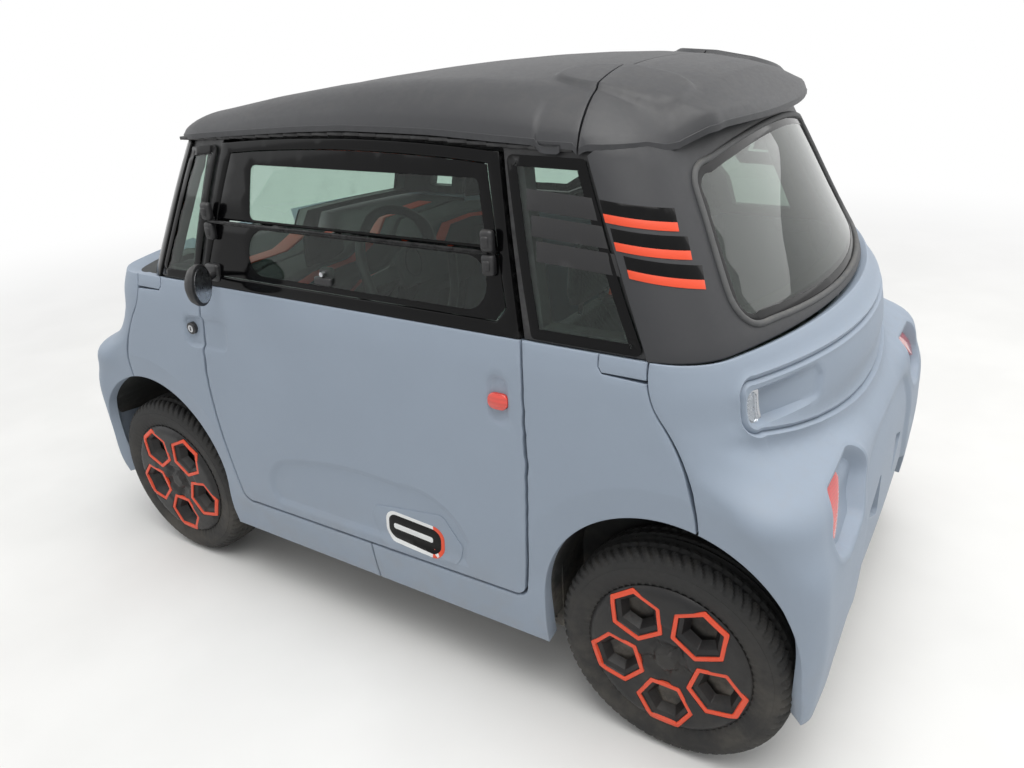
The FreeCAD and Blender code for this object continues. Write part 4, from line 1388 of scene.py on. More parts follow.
@dataclass(frozen=True)
class Moulded(Finish):
    """Moulded plastic or coated metal with grain, dust and worn edges.

    Attributes:
        roughness: middle value.
        scale: grain cells per metre.
        grain: strength of the grain's relief.
        mottle: change of shade.
        dust: share of road dust.
        wear: share of worn edges.
        metallic: 0 for plastic.
        gloss: strength of its shine.
    """

    roughness: float = 0.6
    scale: float = 950.0
    grain: float = 0.25
    mottle: float = 0.10
    dust: float = 0.25
    wear: float = 0.25
    metallic: float = 0.0
    gloss: float = 0.5

    def shade(self, g: Graph, shader: bpy.types.Node) -> None:
        """Grain, then worn edges, then dust.

        Args:
            g: the graph that gets the nodes.
            shader: the Principled shader.
        """
        grain = EFFECTS.placed(g, "moulded_grain", {"Colour": linear(*self.colour), "Scale": self.scale,
                                                    "Mottle": self.mottle, "Roughness": self.roughness})
        paler = tuple(min(255, int(c * 0.75 + 75)) for c in self.colour)
        worn = EFFECTS.placed(g, "edge_wear", {"Colour": grain["Colour"], "Worn": linear(*paler),
                                               "Amount": self.wear})
        dusty = EFFECTS.placed(g, "road_dust", {"Colour": worn["Colour"], "Roughness": grain["Roughness"],
                                                "Amount": self.dust})
        g.feed(shader, {"Base Color": dusty["Colour"], "Roughness": dusty["Roughness"],
                        "Normal": g.bump(grain["Height"], self.grain, 0.0006), "Metallic": self.metallic,
                        "Specular IOR Level": self.gloss})


@dataclass(frozen=True)
class Clear(Finish):
    """Tinted glass or clear lens, with smears in its gloss and light let through to cast no hard shadow."""

    roughness: float = 0.01
    smear: float = 0.05
    flutes: float = 0.0
    bend: float = 1.33

    def shade(self, g: Graph, shader: bpy.types.Node) -> None:
        """Smeared glass whose shadow is only a tint.

        Args:
            g: the graph that gets the nodes.
            shader: the Principled shader.
        """
        spots = g.ramp(g.noise(14.0, 6.0, 0.65), 0.5, 0.8)
        tint = linear(*self.colour)
        deeper = tuple(c * 0.9 for c in tint[:3]) + (1.0,)
        g.feed(shader, {"Roughness": g.math("ADD", g.math("MULTIPLY", spots, self.smear), self.roughness),
                        "Base Color": g.mix(spots, tint, deeper), "Transmission Weight": 1.0, "IOR": self.bend})
        if self.flutes:
            g.feed(shader, {"Normal": g.bump(g.wave(self.flutes), 0.5, 0.001)})
        g.surface(shader, g.add("BsdfTransparent", {"Color": tint}), g.add("LightPath").outputs["Is Shadow Ray"])


@dataclass(frozen=True)
class Woven(Finish):
    """Woven cloth: two crossing sets of threads with flecks."""

    fleck: tuple[int, int, int] = (128, 128, 128)
    pitch: float = 900.0

    def shade(self, g: Graph, shader: bpy.types.Node) -> None:
        """Two crossing sets of bands, coloured and raised.

        Args:
            g: the graph that gets the nodes.
            shader: the Principled shader.
        """
        waves = [g.wave(self.pitch / 20, way, Distortion=1.2, Detail=1.0) for way in ("Y", "DIAGONAL")]
        weave = g.math("MULTIPLY", waves[0], waves[1])
        fleck = g.ramp(g.noise(420.0, 2.0), 0.58, 0.72)
        colour = g.mix(g.math("MULTIPLY", weave, 0.5), linear(*self.colour), linear(*self.fleck))
        g.feed(shader, {"Base Color": g.mix(g.math("MULTIPLY", fleck, 0.35), colour, linear(*self.fleck)),
                        "Roughness": g.ramp(weave, 0.0, 1.0, 0.95, 0.75), "Normal": g.bump(weave, 0.5, 0.0008),
                        "Sheen Weight": 0.3})


@dataclass(frozen=True)
class Lamp(Finish):
    """Coloured lens over a reflector: gloss with ribs, and painted shade in a darker tint, in bands along the ribs and
    towards its edges.
    """

    ribs: float = 60.0

    def shade(self, g: Graph, shader: bpy.types.Node) -> None:
        """Ribbed gloss, with painted shade: darker bands along the ribs, and darker towards its edges where it is seen
        at a glancing angle.

        Args:
            g: the graph that gets the nodes.
            shader: the Principled shader.
        """
        wave = g.wave(self.ribs)
        tint = linear(*self.colour)
        # painted shade: a darker tint that stands in for the shade in the lamp's depth
        deep = tuple(c * 0.45 for c in tint[:3]) + (1.0,)
        # painted shade: the lens darkens where it is seen at a glancing angle
        edge = g.add("LayerWeight", {"Blend": 0.35}).outputs["Facing"]
        # painted shade in bands along the ribs
        colour = g.mix(g.math("MULTIPLY", wave, 0.25), tint, deep)
        g.feed(shader, {"Base Color": g.mix(g.math("MULTIPLY", edge, 0.5), colour, deep),
                        "Roughness": g.ramp(g.noise(30.0), 0.3, 0.7, 0.08, 0.2),
                        "Normal": g.bump(wave, 0.25, 0.0008), "Coat Weight": 1.0, "Coat Roughness": 0.04})


BODY_BLUE = Moulded("body_plastic", (141, 153, 168), 0.58, mottle=0.08, grain=0.2, dust=0.14, wear=0.12)
ROOF_GREY = Moulded("roof_plastic", (44, 45, 48), 0.50, grain=0.35, mottle=0.07, dust=0.05, wear=0.1)
BLACK_SATIN = Moulded("black_satin", (24, 24, 26), 0.48, grain=0.3, mottle=0.12, dust=0.10)
BLACK_GLOSS = Moulded("black_gloss", (6, 6, 7), 0.12, grain=0.02, mottle=0.10, dust=0.01, gloss=0.16)
SEAL_GREY = Moulded("seal_rubber", (78, 79, 80), 0.7, scale=500.0, grain=0.35, dust=0.25)
TUB_BLACK = Moulded("tub_plastic", (34, 35, 35), 0.75, scale=600.0, grain=0.6, dust=0.45)
CHASSIS_BLACK = Moulded("chassis_steel", (30, 30, 31), 0.5, scale=300.0, grain=0.25, dust=0.5, wear=0.5)
CAST = Moulded("cast_iron", (96, 92, 88), 0.62, scale=260.0, grain=0.8, dust=0.4, metallic=0.7)
BATTERY = Moulded("battery_case", (128, 131, 134), 0.5, scale=500.0, grain=0.3, wear=0.5)
MOTOR = Moulded("motor_case", (170, 172, 174), 0.42, scale=400.0, grain=0.6, metallic=0.85, dust=0.3)
DASH = Moulded("dash_plastic", (44, 47, 48), 0.72, scale=700.0, grain=0.7, dust=0.12)
ORANGE = Moulded("orange_trim", (226, 76, 42), 0.45, grain=0.15, mottle=0.06, dust=0.05, wear=0.1)
WHITE = Moulded("white_print", (226, 228, 228), 0.45, grain=0.1, mottle=0.04, dust=0.05)
WHEEL_BLACK = Moulded("wheel_cap", (16, 16, 18), 0.42, grain=0.2, mottle=0.10, dust=0.05, gloss=0.4)
RIM_STEEL = Moulded("rim_steel", (22, 22, 23), 0.5, grain=0.3, dust=0.35)
RUBBER = Moulded("tyre_rubber", (33, 33, 33), 0.78, scale=420.0, grain=0.5, mottle=0.12, dust=0.10, wear=0.3)
METAL = Moulded("bright_metal", (188, 190, 193), 0.28, grain=0.05, mottle=0.05, dust=0.05, metallic=1.0)
GLASS = Clear("window_glass", (200, 216, 208), 0.0, 0.0)
REAR_GLASS = Clear("rear_glass", (130, 142, 134), 0.0, 0.0, bend=1.5)
ROOF_GLASS = Moulded("roof_glass", (20, 24, 23), 0.06, grain=0.0, mottle=0.05, dust=0.03, gloss=0.8)
LENS = Clear("clear_lens", (238, 241, 244), 0.03, flutes=40.0)
RED_LAMP = Lamp("red_lens", (214, 40, 38))
SIDE_LAMP = Lamp("side_lamp", (226, 62, 44), 30.0)
SEAT_CLOTH = Woven("seat_fabric", (36, 38, 40), (74, 78, 80))
STRAP = Woven("strap_webbing", (206, 70, 38), (228, 104, 66), 1400.0)
NET = Woven("net_cord", (34, 35, 36), (60, 62, 63), 1600.0)


# Body panels

Loop = list[Plane]


def mirror_loop(points: Loop, length: float) -> Loop:
    """The outline on the other half of an end, in the order that closes a loop."""
    return [(2 * length - s, z) for s, z in reversed(points)]


def signed_inside(uv: Array, loop: Array) -> Array:
    """Distance from an outline, positive inside it."""
    gap = distance_to_loop(uv, loop)
    return np.where(inside(uv, loop), gap, -gap)


def from_end(skin: LoftSkin, points: Loop) -> Array:
    """Rounded outline in y and z on the left half of the tail, in the skin's own coordinates."""
    return np.array(on_end(skin, points))


def both_halves(outline: Array, length: float) -> list[Array]:
    """An outline on the tail and its mirror image.

    Args:
        outline: closed outline.
        length: half the skin's length round.

    Returns:
        The outline and its mirror image.
    """
    other = outline.copy()
    other[:, 0] = 2 * length - other[:, 0]
    return [outline, other[::-1]]


@dataclass
class BodyPanels:
    """Tail and nose mouldings, four wings and their small filler pieces, all cut from one skin."""

    seam_top: Plane = (0.815, 1.040)
    seam_belly: Plane = (0.807, 0.970)
    seam_neck: Plane = (0.836, 0.893)
    seam_hip: Plane = (0.900, 0.790)
    seam_end: Plane = (0.929, 0.635)
    sill_split_x: float = 0.020
    flare_radius: float = 0.375
    flare_depth: float = 0.011
    skirt: tuple[Plane, ...] = ((-0.514, SKIRT_SIDE_Z), (-0.505, 0.300), (-0.430, 0.368), (0.0, 0.368))
    pod: tuple[tuple[float, ...], ...] = (
        (-0.545, 0.9515), (-0.574, 0.945, -0.583, 0.920), (-0.586, 0.884), (-0.580, 0.857, -0.550, 0.8465),
        (0.0, 0.777, 0.550, 0.8465), (0.580, 0.857, 0.586, 0.884), (0.583, 0.920), (0.574, 0.945, 0.545, 0.9515),
        (0.0, 0.941, -0.545, 0.9515))
    scoop: tuple[Plane, ...] = (
        (-0.575, 0.860), (-0.570, 0.934), (-0.352, 0.932), (-0.334, 0.902), (-0.356, 0.850))
    scoop_depth: float = 0.026
    pocket: tuple[Plane, ...] = (
        (-0.568, 0.650), (-0.538, 0.725), (-0.330, 0.744), (-0.304, 0.690), (-0.372, 0.600), (-0.480, 0.574),
        (-0.552, 0.596))
    pocket_depth: float = 0.034
    face: tuple[tuple[float, ...], ...] = (
        (-0.430, 0.170), (-0.335, 0.450), (-0.318, 0.600), (-0.295, 0.655, -0.214, 0.682), (0.0, 0.693, 0.214, 0.682),
        (0.295, 0.655, 0.318, 0.600), (0.335, 0.450), (0.430, 0.170))
    face_depth: float = 0.012
    intake: tuple[Plane, ...] = ((-0.245, 0.512), (-0.105, 0.568), (-0.100, 0.440))
    intake_depth: float = 0.024
    bulge: float = 0.016
    patch_low_z: float = 0.963
    patch_x: float = 0.700
    patch_gap: float = 0.0015
    recess: tuple[tuple[float, ...], ...] = (
        (-0.353, 0.391), (-0.335, 0.480, -0.256, 0.530), (-0.060, 0.566, 0.145, 0.567),
        (0.260, 0.558, 0.337, 0.501), (0.365, 0.450), (0.352, 0.372), (-0.335, 0.362))
    recess_depth: float = 0.009
    grip: tuple[Plane, ...] = ((-0.612, 0.812), (-0.616, 0.906), (-0.424, 0.914), (-0.428, 0.813))
    grip_depth: float = 0.009
    seat_depth: float = 0.006
    lamp_seat: tuple[Plane, ...] = ((0.437, 0.800), (0.430, 0.917), (0.489, 0.917), (0.495, 0.800))
    tail_loops: dict[str, list[Array]] = field(default_factory=dict)
    side_loops: dict[str, Array] = field(default_factory=dict)

    def __post_init__(self) -> None:
        """Draws the outlines of the sides, and puts those of the tail on its skin."""
        self.side_loops = {"recess": np.array(path(self.recess)), "grip": np.array(rounded(self.grip, 0.03)),
                           "seat": np.array(rounded(self.lamp_seat, 0.028))}
        length = BODY.length
        self.tail_loops = {
            "scoop": both_halves(from_end(BODY, rounded(self.scoop, 0.022)), length),
            "pocket": both_halves(from_end(BODY, rounded(self.pocket, 0.045)), length),
            "intake": both_halves(from_end(BODY, rounded(self.intake, 0.014)), length),
            "pod": [from_end(BODY, path(self.pod))],
            "face": [from_end(BODY, path(self.face))],
        }

    def seam(self, offset: float) -> Loop:
        """Seam between wing and tail in x and z, from the belt down to the wheel arch.

        Args:
            offset: shift along the car.

        Returns:
            The seam's points.
        """
        line = path([self.seam_top, self.seam_belly + self.seam_neck, self.seam_hip + self.seam_end])
        line = [(x + offset, z) for x, z in line]
        kept: Loop = []
        for (x0, z0), (x1, z1) in zip(line, line[1:]):
            for k in range(12):
                x, z = x0 + (x1 - x0) * k / 12, z0 + (z1 - z0) * k / 12
                if z <= BELT_Z and math.hypot(x - AXLE_X, z - ARCH_CENTRE_Z) >= ARCH_RADIUS:
                    kept.append((x, z))
        kept[0] = (kept[0][0], BELT_Z)
        drop = math.sqrt(ARCH_RADIUS**2 - (kept[-1][0] - AXLE_X) ** 2)
        return kept[::3] + [(kept[-1][0], ARCH_CENTRE_Z + drop)]

    def arch(self, start: Plane, end_angle: float, steps: int = 40) -> Loop:
        """Wheel arch in x and z from a point on it to an angle.

        Args:
            start: a point on the arch.
            end_angle: angle at which it ends.
            steps: number of points.

        Returns:
            The arch's points.
        """
        first = math.atan2(start[1] - ARCH_CENTRE_Z, start[0] - AXLE_X)
        return [(AXLE_X + ARCH_RADIUS * math.cos(first + (end_angle - first) * k / steps),
                 ARCH_CENTRE_Z + ARCH_RADIUS * math.sin(first + (end_angle - first) * k / steps))
                for k in range(1, steps + 1)]

    def flare(self, base: Array) -> Array:
        """Band round both arches that slopes in towards the edge.

        Args:
            base: the points on the skin.

        Returns:
            Height over the skin, one for each point.
        """
        gap = np.hypot(np.abs(base[:, 0]) - AXLE_X, base[:, 2] - ARCH_CENTRE_Z)
        low = base[:, 2] < ARCH_CENTRE_Z
        gap = np.where(low, np.abs(np.abs(base[:, 0]) - AXLE_X), gap)
        share = np.clip((self.flare_radius - gap) / (self.flare_radius - ARCH_RADIUS), 0, 1)
        on_side = ramp(-np.abs(np.abs(base[:, 1]) - 0.69), -0.075, -0.03)
        return -self.flare_depth * share * on_side * ramp(base[:, 2], 0.25, 0.42)

    def tail_relief(self, base: Array, uv: Array) -> Array:
        """Pod lip, scoops, lamp pockets, intakes and the crease of the middle face.

        Args:
            base: the points on the skin.
            uv: the points' coordinates on the skin.

        Returns:
            Height over the skin, one for each point.
        """
        lift = self.flare(base)
        y = np.abs(base[:, 1])
        corner = ramp(np.abs(base[:, 0]), 0.97, 1.08) * ramp(y, 0.16, 0.34)
        lift += self.bulge * np.exp(-((base[:, 2] - 0.712) / 0.040) ** 2) * corner
        pod = signed_inside(uv, self.tail_loops["pod"][0])
        lift += 0.0042 * np.exp(-((pod + 0.0085) / 0.0050) ** 2)
        lift -= 0.0065 * np.exp(-(pod / 0.0032) ** 2)
        lift += 0.0025 * np.exp(-((pod - 0.0085) / 0.0045) ** 2)
        lift -= 0.006 * ramp(-pod, 0.012, 0.030) * ramp(-pod, 0.085, 0.035) * ramp(0.86 - base[:, 2], 0.0, 0.03)
        for loop in self.tail_loops["scoop"]:
            deep = 0.25 + 0.75 * ramp(y, 0.33, 0.55)
            lift -= self.scoop_depth * deep * ramp(signed_inside(uv, loop), 0.0, 0.012)
        for loop in self.tail_loops["pocket"]:
            gap = signed_inside(uv, loop)
            deep = 1.0 - 0.25 * ramp(base[:, 2], 0.66, 0.58)
            lift -= self.pocket_depth * deep * ramp(gap, 0.0, 0.016)
            lift += 0.003 * np.exp(-((gap + 0.008) / 0.006) ** 2)
        for loop in self.tail_loops["intake"]:
            lift -= self.intake_depth * ramp(signed_inside(uv, loop), 0.0, 0.008)
        lift -= self.face_depth * ramp(signed_inside(uv, self.tail_loops["face"][0]), -0.004, 0.016)
        return lift

    def tail_outline(self) -> Loop:
        """Outline of the tail moulding.

        Returns:
            The outline on the skin.
        """
        seam = self.seam(PANEL_GAP / 2)
        side = seam + self.arch(seam[-1], 0.0) + [(AXLE_X + ARCH_RADIUS, SKIRT_SIDE_Z)]
        half = on_side(BODY, side) + on_end(BODY, self.skirt)
        return half + mirror_loop(half[:-1], BODY.length)

    def end_features(self) -> list[tuple[Array, tuple[float, ...]]]:
        """Outlines that the tail's mesh follows, with the rows beside each.

        Returns:
            Each outline with its rows' distances.
        """
        rows = [(self.tail_loops["pod"][0], (0.030, 0.020, 0.0125, 0.0085, 0.0045, 0.0, -0.0045, -0.0085, -0.0125)),
                (self.tail_loops["face"][0], (0.004, -0.004, -0.010, -0.016))]
        for name, offsets in (("scoop", (0.0, -0.004, -0.008, -0.012)),
                              ("pocket", (0.013, 0.008, 0.003, 0.0, -0.005, -0.010, -0.016)),
                              ("intake", (0.0, -0.004, -0.008))):
            rows += [(loop, offsets) for loop in self.tail_loops[name]]
        return rows

    def build_ends(self) -> None:
        """Tail and nose: one moulding used twice."""
        tail = sheet("tail_moulding", BODY_BLUE, BODY, [self.tail_outline()], step=0.013,
                     relief=self.tail_relief, features=self.end_features())
        nose = turned_copy(tail, "nose_moulding")
        settle(tail, "car_body", "body_plastic", "tail_panel")
        settle(nose, "car_body", "body_plastic", "nose_panel")
        parts = []
        for k, loop in enumerate(self.tail_loops["intake"]):
            parts.append(sheet(f"intake_{k}", TUB_BLACK, BODY, [loop], depth=0.003, step=0.02, edge=0.001,
                               inset=self.intake_depth + self.face_depth - 0.003))
        rear = join("tail_intake_grilles", parts)
        front = dress(turned_copy(rear, "nose_intake_grilles"), TUB_BLACK)
        settle(rear, "car_body", "tub_plastic")
        settle(front, "car_body", "tub_plastic")

    def side_relief(self, base: Array, uv: Array) -> Array:
        """Arch flare, door recess, grip recess and the seat of the side lamp.

        Args:
            base: the points on the skin.
            uv: the points' coordinates on the skin; not used.

        Returns:
            Height over the skin, one for each point.
        """
        lift = self.flare(base)
        xz = base[:, [0, 2]]
        lift -= self.recess_depth * ramp(signed_inside(xz, self.side_loops["recess"]), 0.0, 0.022)
        deep = np.where(base[:, 0] < -0.525, 1.0, 0.5)
        lift -= self.grip_depth * deep * ramp(signed_inside(xz, self.side_loops["grip"]), 0.0, 0.012)
        return lift - self.seat_depth * ramp(signed_inside(xz, self.side_loops["seat"]), 0.0, 0.010)

    def side_features(self) -> list[tuple[Array, tuple[float, ...]]]:
        """Outlines that the side meshes follow.

        Returns:
            Each outline with its rows' distances.
        """
        rows = []
        for name, offsets in (("recess", (0.004, 0.0, -0.008, -0.016, -0.022)), ("grip", (0.0, -0.006, -0.012)),
                              ("seat", (0.0, -0.005, -0.010))):
            rows.append((np.array(on_side(BODY, self.side_loops[name])), offsets))
        circle = [(sign * AXLE_X + self.flare_radius * math.cos(a), ARCH_CENTRE_Z + self.flare_radius * math.sin(a))
                  for sign in (-1, 1) for a in np.linspace(0.0, math.pi, 60)]
        for half in (circle[:60], circle[60:]):
            rows.append((np.array(on_side(BODY, half)), (0.004, 0.0, -0.004)))
        return rows

    def wing_rear(self) -> Loop:
        """Outline of the left rear wing: belt, seam, arch, sill and door hole.

        Returns:
            The outline on the skin.
        """
        seam = self.seam(-PANEL_GAP / 2)
        edge = 0.513 + DOOR_GAP
        low = [(AXLE_X - ARCH_RADIUS, SILL_LOW_Z), (self.sill_split_x + PANEL_GAP / 2, SILL_LOW_Z),
               (self.sill_split_x + PANEL_GAP / 2, 0.334), (0.489, 0.3400), (0.507, 0.346), (0.517, 0.357),
               (edge, 0.372), (edge, 0.376)] + arc_through((edge, 0.376), (edge + 0.017, 0.690), (edge, BELT_Z))
        gap = self.patch_gap
        top = [(self.patch_x - gap, BELT_Z), (self.patch_x - gap, self.patch_low_z + 0.012),
               (self.patch_x + 0.010, self.patch_low_z - gap)]
        below = [p for p in seam if p[1] < self.patch_low_z - 0.004]
        return on_side(BODY, top + below + self.arch(seam[-1], math.pi) + low)

    def wing_front(self) -> Loop:
        """Outline of the left front wing, up to the sill split under the door.

        Returns:
            The outline on the skin.
        """
        seam = [(-x, z) for x, z in self.seam(-PANEL_GAP / 2)]
        below = [p for p in seam if p[1] < self.patch_low_z - 0.004]
        arch = [(-x, z) for x, z in self.arch((-seam[-1][0], seam[-1][1]), math.pi)]
        gap = DOOR_GAP
        hole = [(-0.518 - gap, BELT_Z)] + arc_through((-0.518 - gap, BELT_Z), (-0.537 - gap, 0.790),
                                                      (-0.516 - gap, 0.520))
        hole += [(-0.488 - gap, 0.365)] + arc_through((-0.488 - gap, 0.365), (-0.4775, 0.334), (-0.441, 0.328))
        hole += [(self.sill_split_x - PANEL_GAP / 2, 0.3335), (self.sill_split_x - PANEL_GAP / 2, SILL_LOW_Z),
                 (-AXLE_X + ARCH_RADIUS, SILL_LOW_Z)]
        top = [(-self.patch_x + self.patch_gap, BELT_Z), (-self.patch_x + self.patch_gap, self.patch_low_z + 0.012),
               (-self.patch_x - 0.010, self.patch_low_z - self.patch_gap)]
        return on_side(BODY, hole + list(reversed(arch)) + list(reversed(below)) + list(reversed(top)))

    def patch(self, sign: int) -> Loop:
        """Small filler piece beside a seam at the belt.

        Args:
            sign: 1 for the rear end, -1 for the front.

        Returns:
            The outline on the skin.
        """
        seam = [(x, z) for x, z in self.seam(-PANEL_GAP / 2) if z > self.patch_low_z + 0.002]
        low, gap = self.patch_low_z, self.patch_gap
        points = seam + [(seam[-1][0], low + gap), (self.patch_x + 0.010, low + gap),
                         (self.patch_x + gap, low + 0.013), (self.patch_x + gap, BELT_Z)]
        return on_side(BODY, [(sign * x, z) for x, z in points])

    def build_wings(self) -> None:
        """Left wings with their fillers, and the right ones as the same pieces turned round."""
        for name, outline, turned, node in (
                ("wing_rear", self.wing_rear(), "wing_front_right", "wing_rear_left"),
                ("wing_front", self.wing_front(), "wing_rear_right", "wing_front_left")):
            sign = 1 if name == "wing_rear" else -1
            panel = sheet(name, BODY_BLUE, BODY, [outline], step=0.014, relief=self.side_relief,
                          features=self.side_features())
            small = sheet(name + "_filler", BODY_BLUE, BODY, [self.patch(sign)], step=0.02, edge=0.002)
            left = join(node + "_moulding", [panel, small])
            right = turned_copy(left, turned + "_moulding")
            settle(left, "car_body", "body_plastic", node)
            settle(right, "car_body", "body_plastic", turned)


# Doors

PRINT = {"depth": 0.0006, "edge": 0.0003}


def glazing(finish: Finish, outline: Loop | Array, hole: Loop | Array, steps: Plane, depth: float = 0.006,
            insets: Plane = (0.004, 0.0032)) -> list[bpy.types.Object]:
    """Pane on the cabin's skin and the black border printed on it.

    Args:
        finish: the glass.
        outline: outer edge of both, on the skin.
        hole: inner edge of the border.
        steps: spacing of the meshes of pane and border.
        depth: thickness of the pane.
        insets: how far pane and border lie below the skin.

    Returns:
        The pane and its border.
    """
    return [sheet("pane", finish, CABIN, [outline], depth=depth, step=steps[0], edge=0.001, inset=insets[0]),
            sheet("border", BLACK_GLOSS, CABIN, [outline, hole], step=steps[1], inset=insets[1], **PRINT)]


@dataclass
class Doors:
    """Side doors: shell, window frame, two panes, tilting bar, mirror, side lamp and its decal.

    The right door is the left one turned half round, as on the real car, so only the left one is drawn.
    """

    panels: BodyPanels
    shell: tuple[tuple[float, ...], ...] = (
        (-0.440, 0.335), (0.488, 0.347), (0.506, 0.355, 0.513, 0.374), (0.530, 0.690, 0.513, BELT_Z), (-0.518, BELT_Z),
        (-0.537, 0.790, -0.516, 0.520), (-0.488, 0.365), (-0.472, 0.340, -0.440, 0.335))
    frame_outline: tuple[tuple[float, ...], ...] = (
        (-0.518, BELT_Z), (0.513, BELT_Z), (0.433, 1.374), (0.005, 1.390, -0.420, 1.370))
    window: tuple[tuple[float, ...], ...] = (
        (-0.472, 1.030), (0.450, 1.030), (0.474, 1.062), (0.406, 1.350), (0.005, 1.364, -0.392, 1.346),
        (-0.490, 1.050))
    lower_pane: tuple[Plane, ...] = (
        (-0.4705, 1.0315), (0.4495, 1.0315), (0.4725, 1.062), (0.4470, 1.1705), (-0.4480, 1.1705), (-0.4885, 1.050))
    lower_clear: tuple[Plane, ...] = ((-0.330, 1.046), (0.424, 1.046), (0.418, 1.163), (-0.322, 1.163))
    upper_pane: tuple[tuple[float, ...], ...] = (
        (-0.4465, 1.1785), (0.4450, 1.1785), (0.4050, 1.3485), (0.005, 1.3625, -0.3910, 1.3445))
    upper_clear: tuple[Plane, ...] = ((-0.320, 1.186), (0.416, 1.186), (0.384, 1.320), (-0.314, 1.320))
    bar_z: float = 1.175
    bar_y: float = -0.632
    bar_ends: Plane = (-0.462, 0.432)
    plaque: tuple[Plane, ...] = (
        (0.055, 0.470), (0.278, 0.503), (0.334, 0.424), (0.319, 0.372), (0.077, 0.343), (0.037, 0.428))
    decal_centre: Plane = (0.180, 0.418)
    decal_size: Plane = (0.190, 0.094)
    decal_slope: float = 0.055
    lamp_centre: Plane = (0.463, 0.855)
    lamp_size: Plane = (0.052, 0.038)
    mirror_centre: Point = (-0.386, -0.745, 1.040)
    mirror_turn: float = math.radians(27.0)

    def on_door(self, name: str, finish: Finish, outline: Loop, proud: float,
                thick: float = 0.0007) -> bpy.types.Object:
        """Thin piece that lies on the door's shaped skin.

        Args:
            name: the piece's name.
            finish: its finish.
            outline: corners in x and z.
            proud: how far its face stands off the skin.
            thick: its thickness.

        Returns:
            The new piece.
        """
        return sheet(name, finish, BODY, [on_side(BODY, outline)], depth=thick, step=0.012,
                     edge=min(0.0012, thick * 0.6), inner_step=0.012,
                     relief=lambda base, uv: self.panels.side_relief(base, uv) + proud, follow=True)

    def shell_piece(self) -> bpy.types.Object:
        """Lower door skin with its recesses."""
        return sheet("door_shell", BODY_BLUE, BODY, [on_side(BODY, path(self.shell))], depth=DOOR_WALL, step=0.013,
                     relief=self.panels.side_relief, features=self.panels.side_features())

    def frame_piece(self) -> bpy.types.Object:
        """Black window frame with its thin raised line.

        Returns:
            The frame.
        """
        loops = [on_side(CABIN, path(outline)) for outline in (self.frame_outline, self.window)]
        return sheet("door_frame", BLACK_GLOSS, CABIN, loops, depth=0.045, step=0.03, edge=0.004,
                     relief=self.frame_line)

    def frame_line(self, base: Array, uv: Array) -> Array:
        """Step round the window in the frame's face."""
        hole = np.array(on_side(CABIN, path(self.window)))
        return -0.0015 * ramp(-signed_inside(uv, hole), 0.012, 0.006)

    def panes(self) -> list[bpy.types.Object]:
        """Clear panes and their printed black borders.

        Returns:
            Each pane with its border.
        """
        pieces = []
        for outer, clear in ((path(self.upper_pane), rounded(self.upper_clear, 0.016)),
                             (rounded(self.lower_pane, 0.010), rounded(self.lower_clear, 0.055))):
            pieces += glazing(GLASS, on_side(CABIN, outer), on_side(CABIN, clear), (0.05, 0.03), 0.005,
                              (0.0045, 0.0036))
        return pieces

    def fittings(self) -> bpy.types.Object:
        """Bar across the window on two double hinge blocks, and the latch of the tilting pane.

        Returns:
            The fittings as one piece.
        """
        black = BLACK_SATIN
        x0, x1 = self.bar_ends
        y, z = self.bar_y, self.bar_z
        parts = [dress(tube("bar", [(x0, y, z), (x1, y, z)], 0.0052, sides=14), BLACK_GLOSS)]
        for x in self.bar_ends:
            for sign in (-1, 1):
                parts.append(block("block", black, (x - 0.016, y - 0.010, z + sign * 0.026 - 0.024),
                                   (x + 0.016, y + 0.012, z + sign * 0.026 + 0.024), 0.009))
                parts.append(block("cap", black, (x - 0.009, y - 0.014, z + sign * 0.026 - 0.012),
                                   (x + 0.009, y - 0.004, z + sign * 0.026 + 0.012), 0.005))
            parts.append(block("stem", black, (x - 0.008, y + 0.004, z - 0.009), (x + 0.008, -0.604, z + 0.009),
                               0.003))
        parts.append(block("latch", black, (-0.078, -0.634, 1.044), (-0.040, -0.610, 1.088), 0.008))
        parts.append(block("latch_foot", black, (-0.088, -0.646, 1.048), (-0.030, -0.630, 1.068), 0.005))
        screw = [(-0.059, -0.6455, 1.076), (-0.059, -0.630, 1.076)]
        parts.append(dress(tube("latch_screw", screw, 0.006, sides=16), METAL))
        return join("door_fittings", parts)

    def side_lamp(self) -> bpy.types.Object:
        """Glossy rounded lamp on the door, crowned in the middle.

        Returns:
            The lamp.
        """
        cx, cz = self.lamp_centre
        hx, hz = self.lamp_size[0] / 2, self.lamp_size[1] / 2
        corners = [(cx - hx, cz - hz), (cx + hx, cz - hz), (cx + hx, cz + hz), (cx - hx, cz + hz)]
        outline = on_side(BODY, rounded(corners, 0.016))

        def crown(base: Array, uv: Array) -> Array:
            """Height of the lens over the skin."""
            across = ((base[:, 0] - cx) / hx) ** 2 + ((base[:, 2] - cz) / hz) ** 2
            return 0.003 + 0.004 * np.clip(1 - across, 0, 1)

        return sheet("door_side_lamp", SIDE_LAMP, BODY, [outline], depth=0.006, step=0.004, edge=0.003,
                     relief=crown, inner_step=0.02)

    def sloped(self, centre: Plane, size: Plane, radius: float) -> Loop:
        """Rounded oblong whose long side falls towards the rear.

        Args:
            centre: middle of the piece.
            size: its size, m.
            radius: rounding, m.

        Returns:
            The outline in x and z.
        """
        hx, hz = size[0] / 2, size[1] / 2
        corners = []
        for sx, sz in ((-1, -1), (1, -1), (1, 1), (-1, 1)):
            x = centre[0] + sx * hx + sz * hz * 0.10
            corners.append((x, centre[1] + sz * hz - (x - centre[0]) * self.decal_slope))
        return rounded(corners, radius)

